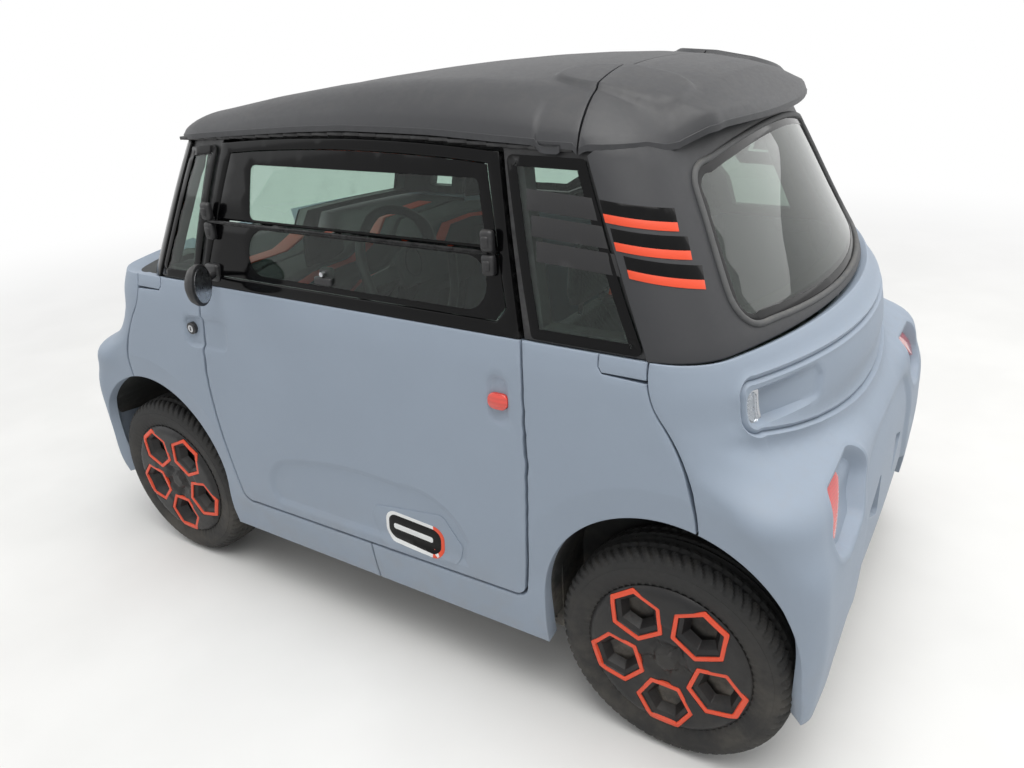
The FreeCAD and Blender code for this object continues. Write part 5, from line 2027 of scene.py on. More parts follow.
    def decal(self) -> list[bpy.types.Object]:
        """Raised plaque with a plain printed badge: black field, white and orange outline, white bar.

        Returns:
            The plaque and the layers of its badge.
        """
        plaque = self.on_door("plaque", BODY_BLUE, rounded(self.plaque, 0.022), 0.0022, 0.004)
        cx, cz = self.decal_centre
        wide, high = self.decal_size
        whole = self.sloped((cx, cz), (wide + 0.001, high + 0.001), 0.034)
        split = cx + 0.030
        return [plaque,
                self.on_door("badge_rim", WHITE, self.sloped((cx, cz), (wide, high), 0.034), 0.0029),
                self.on_door("badge_end", ORANGE, [p for p in whole if p[0] >= split], 0.0032),
                self.on_door("badge_field", BLACK_GLOSS,
                             self.sloped((cx, cz), (wide - 0.020, high - 0.020), 0.026), 0.0036),
                self.on_door("badge_bar", WHITE,
                             self.sloped((cx - 0.004, cz + 0.002), (wide - 0.062, 0.017), 0.006), 0.0042)]

    def lock(self) -> bpy.types.Object:
        """Key cylinder in the grip recess ahead of the door.

        Returns:
            The lock.
        """
        x, z = -0.579, 0.868
        y = float(BODY.point(BODY.s_of_x([x], [z]), [z])[0][1])
        ring = dress(tube("ring", [(x, y + 0.012, z), (x, y - 0.001, z)], 0.0175, sides=28), BLACK_SATIN)
        core = dress(tube("core", [(x, y + 0.012, z), (x, y - 0.003, z)], 0.0105, sides=24), METAL)
        slit = block("slit", BLACK_GLOSS, (x - 0.001, y - 0.0042, z - 0.006), (x + 0.001, y, z + 0.006), 0.0004)
        return join("door_lock", [ring, core, slit])

    def mirror(self) -> bpy.types.Object:
        """Round mirror on an arm from the window's lower front corner.

        Returns:
            The mirror with its arm.
        """
        x, y, z = self.mirror_centre
        black = BLACK_SATIN
        verts = []
        rings = ((0.0, 0.046), (0.0, 0.050), (-0.003, 0.054), (-0.012, 0.054), (-0.024, 0.048), (-0.033, 0.034),
                 (-0.038, 0.014), (-0.0385, 0.001))
        count = 48
        turn = Matrix.Rotation(self.mirror_turn, 3, "Z")
        for dx, radius in rings:
            for k in range(count):
                angle = math.tau * k / count
                place = turn @ Vector((dx, radius * math.cos(angle), radius * math.sin(angle)))
                verts.append(place + Vector((x, y, z)))
        faces = ring_faces(len(rings), count) + end_faces(len(rings), count)
        head = dress(face_outward(new_object("head", verts, faces, 40)), black)
        out = turn @ Vector((1, 0, 0))
        middle = Vector((x, y, z))
        glass = dress(tube("glass", [middle - out * 0.001, middle + out * 0.0012], 0.0462, sides=48), METAL)
        arm = dress(tube("arm", [(-0.468, -0.640, 1.034), (-0.450, -0.668, 1.034), (-0.425, -0.708, 1.037),
                                 (x - 0.020, y + 0.022, z)], 0.0105, sides=16, flat=0.8), black)
        foot = block("foot", black, (-0.492, -0.656, 1.012), (-0.442, -0.628, 1.062), 0.009)
        return join("mirror", [head, glass, arm, foot])

    def build(self) -> None:
        """Both doors on their own bodies."""
        shell = join("shell", [self.shell_piece()] + self.decal())
        plan = [(shell, "shell", "body_plastic", ("shell",)),
                (self.frame_piece(), "frame", "black_plastic", ("frame",)),
                (join("glass", self.panes()), "glass", "window_glass", ("glass",)),
                (self.fittings(), "fittings", "black_plastic", ("fittings",)),
                (self.side_lamp(), "side_lamp", "red_lens", ())]
        for piece, tag, slot, nodes in plan:
            other = turned_copy(piece, f"door_right_{tag}_piece")
            piece.name = f"door_left_{tag}_piece"
            settle(piece, "door_left", slot, *[f"door_left_{n}" for n in nodes])
            settle(other, "door_right", slot, *[f"door_right_{n}" for n in nodes])
        mirror = self.mirror()
        settle(mirrored_copy(mirror, "mirror_right_piece"), "door_right", "black_plastic", "mirror_right")
        mirror.name = "mirror_left_piece"
        settle(mirror, "door_left", "black_plastic", "mirror_left")
        lock = self.lock()
        settle(turned_copy(lock, "lock_right"), "car_body", "black_plastic")
        lock.name = "lock_left"
        settle(lock, "car_body", "black_plastic")


# Roof, posts and fixed glass


@dataclass
class Canopy:
    """Roof mouldings, posts, fixed glass, their seals and the side stripes."""

    split_low: Plane = (0.623, 1.378)
    split_top: Plane = (0.559, 1.526)
    skin: float = 0.014
    rear_line: tuple[Plane, ...] = ((0.636, 1.372), (0.803, BELT_Z))
    front_line: tuple[Plane, ...] = ((0.554, 1.366), (0.712, BELT_Z))
    rear_glass: tuple[tuple[float, ...], ...] = (
        (-0.490, 1.098), (-0.440, 1.272), (-0.420, 1.319, -0.364, 1.336), (0.0, 1.372, 0.364, 1.336),
        (0.420, 1.319, 0.440, 1.272), (0.490, 1.098), (0.481, 1.049, 0.425, 1.032), (0.0, 1.018, -0.425, 1.032),
        (-0.481, 1.049, -0.490, 1.098))
    front_glass: tuple[tuple[float, ...], ...] = (
        (-0.552, 1.006), (-0.490, 1.340), (0.0, 1.385, 0.490, 1.340), (0.552, 1.006))
    quarter_front: tuple[Plane, ...] = ((-0.708, 1.006), (-0.540, 1.006), (-0.440, 1.366), (-0.552, 1.356))
    quarter_rear: tuple[Plane, ...] = ((0.540, 1.006), (0.795, 1.006), (0.632, 1.366), (0.450, 1.370))
    stripes: tuple[tuple[float, float, float, float], ...] = (
        (0.6900, 1.2525, 0.8127, 1.2280), (0.7180, 1.2020, 0.8425, 1.1757), (0.7500, 1.1525, 0.8739, 1.1212))
    stripe_high: float = 0.0250
    line_high: float = 0.0160
    stripe_lean: float = 0.42
    band_start: float = 0.510

    def seam_x(self, y: float, offset: float) -> float:
        """Where the seam between both roof mouldings lies.

        Args:
            y: place across the car.
            offset: shift along the car.

        Returns:
            Its place along the car.
        """
        x = 0.6
        for _ in range(6):
            z = float(crown_height(np.array([x]), np.array([y]))[0])
            share = (z - self.split_low[1]) / (self.split_top[1] - self.split_low[1])
            x = self.split_low[0] + (self.split_top[0] - self.split_low[0]) * share
        return x + offset

    def build_roof(self) -> None:
        """Front and rear roof mouldings with their gap, the glass let into the front one and the side seals."""
        width = CANOPY.half_width
        rows = np.linspace(width, -width, 33)
        plan = CANOPY.outline
        ahead = [(float(x), float(y)) for x, y in plan if x < self.split_low[0] - 0.012]
        behind = [(float(x), float(y)) for x, y in plan if x > self.split_low[0] + 0.012]
        right, left = [p for p in ahead if p[1] >= 0], [p for p in ahead if p[1] < 0]
        front = [(self.seam_x(y, -PANEL_GAP / 2), y) for y in rows] + left + right
        rear = [(self.seam_x(y, PANEL_GAP / 2), y) for y in reversed(rows)] + behind
        offsets = (-0.004, -0.009, -0.016, -0.026, -0.040, -0.058, -0.080, -0.108)
        features = [(CANOPY.outline, offsets)]
        cx, cy, rx, ry = CANOPY.boss
        for sign in (-1, 1):
            ring = [(cx + rx * math.copysign(abs(math.cos(a)) ** 0.67, math.cos(a)),
                     sign * cy + ry * math.copysign(abs(math.sin(a)) ** 0.67, math.sin(a)))
                    for a in np.linspace(0, math.tau, 40, endpoint=False)]
            features.append((np.array(ring), (0.012, 0.006, 0.0, -0.006, -0.012)))
        x0, x1, half = CANOPY.glass
        pane = [(x0, -half), (x1, -half), (x1, half), (x0, half)]
        features.append((np.array(pane), (0.004, 0.002, -0.002)))
        for name, loop in (("roof_front", front), ("roof_rear", rear)):
            piece = sheet(name + "_moulding", ROOF_GREY, CANOPY, [loop], depth=self.skin, step=0.016, edge=0.0015,
                          features=features)
            settle(piece, "car_body", "roof_plastic", name)
        inset = 0.004
        small = [(x0 + inset, -half + inset), (x1 - inset, -half + inset), (x1 - inset, half - inset),
                 (x0 + inset, half - inset)]
        glass = sheet("roof_glass", ROOF_GLASS, CANOPY, [rounded(small, 0.004)], depth=0.003, step=0.03, edge=0.001,
                      inset=-0.0045)
        settle(glass, "car_body", "window_glass")
        self.side_seals()

    def side_seals(self) -> None:
        """Black strips between the doors' upper edges and the roof."""
        stations, heights = np.array(CANOPY.side).T
        strips = []
        for sign in (-1, 1):
            for k in range(24):
                x0 = -0.60 + 1.20 * k / 24
                z = float(np.interp(x0 + 0.025, stations, heights))
                for y0, y1, low in ((0.500, 0.564, z - 0.0005), (0.502, 0.514, z - 0.045)):
                    strips.append(rounded_box("strip", (x0 - 0.0005, min(sign * y0, sign * y1), low),
                                              (x0 + 0.0505, max(sign * y0, sign * y1), z + 0.008), 0.0008, 1))
        settle(dress(join("roof_side_seals", strips), BLACK_SATIN), "car_body", "black_plastic")

    def under_roof(self, s: Array) -> Array:
        """Height of the posts' top edge under the roof at each place round the cabin.

        Args:
            s: distances along the outline.

        Returns:
            One height for each place.
        """
        p = CABIN.point(s, np.full(len(s), CANOPY.post_level))
        rim = CANOPY.nearest(p[:, :2])[1][:, 0]
        return np.maximum(rim - 0.0005, np.minimum(CANOPY.height(p[:, 0], p[:, 1]) - 0.018, 1.410))

    def post_outline(self, line: tuple[Plane, ...], sign: int) -> Loop:
        """Outline of the posts' panel at one end, all round that end.

        Args:
            line: upper and lower end of the side edge.
            sign: 1 for the rear end, -1 for the front.

        Returns:
            The outline on the skin.
        """
        (top_x, top_z), (low_x, low_z) = line
        side = [(sign * (low_x + (top_x - low_x) * k / 8), low_z + (top_z - low_z) * k / 8) for k in range(9)]
        side_s = on_side(CABIN, side)
        first, last = abs(side_s[-1][0]), 2 * CABIN.length - abs(side_s[-1][0])
        s = np.linspace(first, last, 60) * sign
        crown = list(zip(s, self.under_roof(s)))
        other = [(sign * 2 * CABIN.length - a, z) for a, z in reversed(side_s)]
        return side_s + crown[1:-1] + other

    def build_posts(self) -> None:
        """Post panels with the openings of the windscreen and the rear window."""
        for name, line, sign, glass, paint in (
                ("posts_rear", self.rear_line, 1, self.rear_glass, ROOF_GREY),
                ("posts_front", self.front_line, -1, self.front_glass, BLACK_GLOSS)):
            hole = on_end(CABIN, path(glass), sign < 0)
            panel = sheet(name + "_panel", paint, CABIN, [self.post_outline(line, sign), hole], depth=0.010, step=0.03,
                          edge=0.003)
            settle(panel, "car_body", "roof_plastic" if sign > 0 else "black_plastic", name)

    def build_fixed_glass(self) -> None:
        """Windscreen, rear window and four quarter panes, with printed borders and seals."""
        ends = (("windscreen", self.front_glass, True, 0.030), ("rear_window", self.rear_glass, False, 0.022))
        for name, outline, front, border in ends:
            loop = tidy_loop(np.array(path(outline)))
            if loop_area(loop) < 0:
                loop = loop[::-1]
            inner = loop - loop_normals(loop) * border
            small = loop - loop_normals(loop) * 0.0015
            uv = on_end(CABIN, small, front)
            hole = on_end(CABIN, inner, front)
            piece = join(name + "_pane", glazing(GLASS if front else REAR_GLASS, uv, hole, (0.04, 0.04)))
            settle(piece, "car_body", "window_glass", name)
            edge = np.array(on_end(CABIN, resample(loop, 0.012), front))
            line = CABIN.point(edge[:, 0], edge[:, 1]) - CABIN.normal(edge[:, 0], edge[:, 1]) * 0.001
            for _ in range(6):
                line = 0.5 * line + 0.25 * np.roll(line, 1, axis=0) + 0.25 * np.roll(line, -1, axis=0)
            rubber = tube(name + "_seal", line, 0.0075, True, 10, 1.0)
            settle(dress(rubber, BLACK_SATIN if front else SEAL_GREY), "car_body", "black_plastic")
        parts = []
        for corners in (self.quarter_front, self.quarter_rear):
            loop = np.array(rounded(corners, 0.012))
            inner = loop - loop_normals(loop) * (0.022 if loop_area(loop) > 0 else -0.022)
            parts += glazing(GLASS, on_side(CABIN, loop), on_side(CABIN, inner), (0.05, 0.03))
        tall = self.line_high + self.stripe_high
        for k, (x0, z0, _, _) in enumerate(self.stripes):
            start = self.band_start + 0.016 * k
            run = [(start, z0 + 0.012), (x0 - 0.018, z0 + 0.002),
                   (x0 - 0.018 - self.stripe_lean * tall, z0 + 0.002 + tall), (start - 0.004, z0 + 0.012 + tall)]
            parts.append(sheet("band", BLACK_SATIN, CABIN, [on_side(CABIN, run)], step=0.03, inset=0.0031, **PRINT))
        left = join("quarter_panes_left", parts)
        both = join("quarter_panes", [mirrored_copy(left, "quarter_panes_right"), left])
        settle(both, "car_body", "window_glass", "quarter_glasses")

    def build_stripes(self) -> None:
        """Three gloss bands on each rear post, each with an orange lower line."""
        parts = []
        lean = self.stripe_lean
        tall = self.line_high + self.stripe_high
        for x0, z0, x1, z1 in self.stripes:
            for low, high, proud, paint in ((0.0, self.line_high, 0.0009, ORANGE),
                                            (self.line_high, tall, 0.0007, BLACK_GLOSS)):
                corners = [(x0 - low * lean, z0 + low), (x1 - low * lean, z1 + low),
                           (x1 - high * lean, z1 + high), (x0 - high * lean, z0 + high)]
                parts.append(sheet("stripe", paint, CABIN, [on_side(CABIN, corners)], step=0.02, inset=-proud,
                                   **PRINT))
        left = join("stripes_left", parts)
        settle(mirrored_copy(left, "stripes_right"), "car_body", "roof_plastic")
        settle(left, "car_body", "roof_plastic")

    def build(self) -> None:
        """Everything above the belt that doesn't open."""
        self.build_roof()
        self.build_posts()
        self.build_fixed_glass()
        self.build_stripes()


# Lamps


@dataclass
class Lamps:
    """Lenses in the tail's and the nose's pockets and scoops."""

    pocket_lens: tuple[Plane, ...] = (
        (-0.557, 0.655), (-0.500, 0.722), (-0.420, 0.733), (-0.412, 0.714), (-0.500, 0.650), (-0.535, 0.628))
    scoop_lens: tuple[Plane, ...] = ((-0.570, 0.866), (-0.563, 0.925), (-0.536, 0.926), (-0.540, 0.865))
    housing: tuple[Plane, ...] = ((-0.572, 0.863), (-0.566, 0.930), (-0.520, 0.930), (-0.524, 0.861))

    def lens(self, name: str, corners: tuple[Plane, ...], radius: float, inset: float, thick: float,
             paint: Finish) -> bpy.types.Object:
        """One lens, set below the moulding's skin."""
        return sheet(name, paint, BODY, [on_end(BODY, rounded(corners, radius))], depth=thick, step=0.008,
                     edge=0.003, inset=inset, inner_step=0.03)

    def build(self) -> None:
        """Red lenses behind, clear ones in front, and clear ones in all four scoops."""
        red, clear, metal = RED_LAMP, LENS, METAL
        tail = self.lens("lens", self.pocket_lens, 0.012, 0.010, 0.018, red)
        tail = join("tail_lenses", [mirrored_copy(tail, "other"), tail])
        settle(tail, "car_body", "red_lens", "rear_lamps")
        nose = self.lens("lens", self.pocket_lens, 0.012, 0.010, 0.018, clear)
        nose = join("nose_lenses", [mirrored_copy(nose, "other"), nose])
        front = turned_copy(nose, "nose_lens_pair")
        bpy.data.objects.remove(nose)
        settle(front, "car_body", "clear_lens", "front_lamps")
        lens = self.lens("scoop_lens", self.scoop_lens, 0.010, 0.008, 0.010, clear)
        back = self.lens("scoop_back", self.housing, 0.010, 0.019, 0.004, metal)
        pair = join("pair", [lens, back])
        pair = join("tail_scoop_lamps", [mirrored_copy(pair, "other"), pair])
        settle(turned_copy(pair, "nose_scoop_lamps"), "car_body", "clear_lens")
        settle(pair, "car_body", "clear_lens")


# Wheels


class DiscSkin(Skin):
    """Dished face of a left wheel over plan coordinates to the rear and up from its centre."""

    reach = 0.002
    radii = (0.0, 0.030, 0.060, 0.120, 0.176, 0.190, 0.196)
    stands_out = (0.0745, 0.0755, 0.0795, 0.0805, 0.0795, 0.0760, 0.0700)

    def __init__(self, centre_x: float) -> None:
        """Centres the face on a wheel."""
        self.centre = np.array([centre_x, -HALF_TRACK, AXLE_Z])

    def point(self, u: Array, v: Array, inset: float = 0.0) -> Array:
        """Points on the face.

        Args:
            u: first coordinates.
            v: second coordinates.
            inset: how far inside the skin.

        Returns:
            One point for each place.
        """
        u, v = np.asarray(u, float), np.asarray(v, float)
        out = np.interp(np.hypot(u, v), self.radii, self.stands_out) - inset
        return np.stack([self.centre[0] + u, self.centre[1] - out, self.centre[2] + v], axis=1)


@dataclass
class Wheels:
    """Tyres with tread, steel rims and caps with hexagonal openings in orange frames."""

    groove_depth: float = 0.006
    pitches: int = 70
    steps_per_pitch: int = 6
    openings: int = 5
    hex_circle: float = 0.1260
    hex_size: float = 0.0590
    frame_width: float = 0.0115
    frame_outer: float = 0.0075
    funnel: float = 0.60
    funnel_depth: float = 0.030
    cap_radius: float = 0.1960

    def tyre_profile(self) -> list[Plane]:
        """Half section of the carcass: distance from the middle plane and radius, from bead to tread.

        Returns:
            Pairs of distance and radius.
        """
        return [(0.0600, 0.1780), (0.0645, 0.1840), (0.0665, 0.1950), (0.0672, 0.1975), (0.0690, 0.1985),
                (0.0735, 0.2120), (0.0768, 0.2280), (0.0775, 0.2330), (0.0772, 0.2420), (0.0764, 0.2425),
                (0.0760, 0.2470), (0.0735, 0.2560), (0.0700, 0.2630), (0.0655, 0.2685), (0.0600, 0.2722),
                (0.0540, 0.2745), (0.0480, 0.2758), (0.0415, 0.2768), (0.0370, 0.2773), (0.0330, 0.2776),
                (0.0260, 0.2780), (0.0190, 0.2783), (0.0150, 0.2784), (0.0110, 0.2784), (0.0, 0.2785)]

    def tread(self, across: float, step: int) -> float:
        """Depth of the tread at a distance from the middle plane and a step round the wheel.

        Args:
            across: distance from the middle plane.
            step: step round the wheel.

        Returns:
            The depth, m.
        """
        a = abs(across)
        phase = step % self.steps_per_pitch
        if a <= 0.0115 and a >= 0.0105 or 0.0325 < a < 0.0375:
            return self.groove_depth
        shifted = (step + (3 if across > 0 else 0) + int(a * 180)) % self.steps_per_pitch
        if a > 0.041 and a < 0.0705:
            return self.groove_depth * (0.75 if shifted < 2 else 0.0)
        if 0.0115 < a < 0.0330:
            return self.groove_depth * (0.5 if shifted == 0 else 0.0)
        return self.groove_depth * 0.25 if a < 0.0105 and phase == 0 and step % 12 == 0 else 0.0

    def tyre(self, name: str, centre: Point) -> bpy.types.Object:
        """Tyre with shoulder grooves and two grooves all round.

        Args:
            name: the piece's name.
            centre: middle of the piece.

        Returns:
            The tyre.
        """
        half = self.tyre_profile()
        profile = half + [(-a, r) for a, r in reversed(half[:-1])]
        inner = [(-0.050, 0.190), (0.050, 0.190)]
        segments = self.pitches * self.steps_per_pitch
        verts = []
        count = len(profile) + len(inner)
        for k in range(segments):
            angle = math.tau * k / segments
            c, s = math.cos(angle), math.sin(angle)
            for across, radius in profile:
                r = radius - self.tread(across, k)
                verts.append((centre[0] + r * c, centre[1] + across, centre[2] + r * s))
            for across, radius in inner:
                verts.append((centre[0] + radius * c, centre[1] + across, centre[2] + radius * s))
        return dress(face_outward(new_object(name, verts, ring_faces(segments, count, True), 28)), RUBBER)

    def hexagon(self, angle: float, size: float, shift: float = 0.0, spin: float = 0.0) -> Loop:
        """Corners of a hexagon on the openings' circle, a flat side towards the rim.

        Args:
            angle: the opening's direction.
            size: distance of its corners from its middle.
            shift: how far it moves outward.
            spin: turn about its middle.

        Returns:
            Its six corners.
        """
        cx = (self.hex_circle + shift) * math.cos(angle)
        cz = (self.hex_circle + shift) * math.sin(angle)
        return [(cx + size * math.cos(angle + spin + math.radians(30 + 60 * k)),
                 cz + size * math.sin(angle + spin + math.radians(30 + 60 * k))) for k in range(6)]

    def outer_hexagon(self, angle: float) -> Loop:
        """Outside of a frame: like the opening but wider, most of all towards the rim.

        Args:
            angle: the opening's direction.

        Returns:
            Its six corners.
        """
        points = []
        for x, z in self.hexagon(angle, self.hex_size + self.frame_width):
            radial = x * math.cos(angle) + z * math.sin(angle)
            push = self.frame_outer if radial > self.hex_circle + 0.02 else 0.0
            x, z = x + push * math.cos(angle), z + push * math.sin(angle)
            far = math.hypot(x, z)
            limit = self.cap_radius - 0.0035
            if far > limit:
                x, z = x * limit / far, z * limit / far
            points.append((x, z))
        return points

    def cap(self, centre_x: float) -> list[bpy.types.Object]:
        """Cap: face with openings, tapered wells behind them and the orange frames.

        Args:
            centre_x: the wheel's place along the car.

        Returns:
            The face, the frames and the wells.
        """
        skin = DiscSkin(centre_x)
        circle = [(self.cap_radius * math.cos(math.tau * k / 96), self.cap_radius * math.sin(math.tau * k / 96))
                  for k in range(96)]
        angles = [math.tau * k / self.openings - math.pi / 2 for k in range(self.openings)]
        holes = [rounded(self.outer_hexagon(a), 0.005, 3) for a in angles]

        def petals(base: Array, uv: Array) -> Array:
            """Raised fields and a line near the rim between the openings, and a raised hub in a low ring.

            Args:
                base: the points on the skin; not used.
                uv: the points' coordinates on the skin.

            Returns:
                Height over the face, one for each point.
            """
            r = np.hypot(uv[:, 0], uv[:, 1])
            around = np.arctan2(uv[:, 1], uv[:, 0])
            spoke = np.cos(self.openings * (around + math.pi / 2))
            lift = -0.0045 * ramp(0.056 - r, 0.0, 0.010) * ramp(r, 0.0255, 0.0285)
            lift = lift + 0.0065 * ramp(0.0285 - r, 0.0, 0.003)
            lift = lift + 0.0030 * ramp(-spoke, -0.35, -0.15) * ramp(r, 0.100, 0.104) * ramp(0.189 - r, 0.0, 0.003)
            return lift - 0.006 * ramp(spoke, 0.2, 0.9) * ramp(0.075 - r, 0.0, 0.015) * ramp(r, 0.030, 0.038)

        pieces = [sheet("cap_face", WHEEL_BLACK, skin, [circle] + holes, depth=0.010, step=0.0075, edge=0.0015,
                        relief=petals, inner_step=0.03)]
        for angle, outer in zip(angles, holes):
            inner = rounded(self.hexagon(angle, self.hex_size), 0.004, 3)
            pieces.append(sheet("frame", ORANGE, skin, [outer, inner], depth=0.012, step=0.008, edge=0.0014,
                                inset=-0.0016, inner_step=0.02))
            pieces.append(dress(self.well(skin, angle), WHEEL_BLACK))
        return pieces

    def well(self, skin: DiscSkin, angle: float) -> bpy.types.Object:
        """Tapered six-sided well behind one opening, open in the middle.

        Args:
            skin: the surface.
            angle: the opening's direction.

        Returns:
            The well.
        """
        rings = []
        for size, depth in ((1.0, 0.0020), (0.97, 0.0060), (0.80, 0.0120), (self.funnel, self.funnel_depth),
                            (self.funnel - 0.03, self.funnel_depth + 0.002)):
            loop = np.array(rounded(self.hexagon(angle, self.hex_size * size), 0.004 * size, 3))
            rings.append(skin.point(loop[:, 0], loop[:, 1], depth))
        back = np.array(rounded(self.hexagon(angle, self.hex_size * 1.04), 0.004, 3))
        rings.append(skin.point(back[:, 0], back[:, 1], self.funnel_depth + 0.002))
        faces = rewound(ring_faces(len(rings), len(rings[0]), True))
        return face_outward(new_object("well", np.concatenate(rings), faces, 25))

    def rim(self, centre: Point) -> bpy.types.Object:
        """Steel rim with its disc and wheel bolts.

        Args:
            centre: middle of the piece.

        Returns:
            The rim with its bolts.
        """
        profile = [(-0.064, 0.178), (-0.064, 0.172), (-0.040, 0.160), (0.018, 0.158), (0.028, 0.150), (0.030, 0.132),
                   (0.024, 0.100), (0.034, 0.070), (0.030, 0.040), (0.006, 0.040), (0.006, 0.0178), (0.044, 0.0178),
                   (0.044, 0.060), (0.036, 0.100), (0.040, 0.140), (0.050, 0.168), (0.056, 0.172), (0.060, 0.178)]
        parts = [dress(lathe("rim", profile, centre), RIM_STEEL)]
        for k in range(3):
            a = math.tau * k / 3 + 0.3
            x, z = centre[0] + 0.049 * math.cos(a), centre[2] + 0.049 * math.sin(a)
            parts.append(dress(tube("bolt", [(x, centre[1] - 0.042, z), (x, centre[1] - 0.049, z)], 0.009, sides=6),
                               METAL))
        return join("rim", parts)

    def build(self) -> None:
        """Four wheels on their own bodies; the right ones are mirrored."""
        for end, x in ((End.FRONT, -AXLE_X), (End.REAR, AXLE_X)):
            centre = (x, -HALF_TRACK, AXLE_Z)
            tyre = self.tyre("tyre", centre)
            wheel = join("wheel", self.cap(x) + [self.rim(centre)])
            for side in (Side.RIGHT, Side.LEFT):
                body = f"wheel_{end.value}_{side.value}"
                pair = []
                for piece, kind in ((tyre, "tyre"), (wheel, "wheel")):
                    if side is Side.RIGHT:
                        piece = mirrored_copy(piece, kind)
                    piece.name = f"{kind}_{end.value}_{side.value}_piece"
                    pair.append(piece)
                settle(pair[0], body, "tyre", f"tyre_{end.value}_{side.value}")
                settle(pair[1], body, "wheel_black", f"wheel_{end.value}_{side.value}")


# Cabin


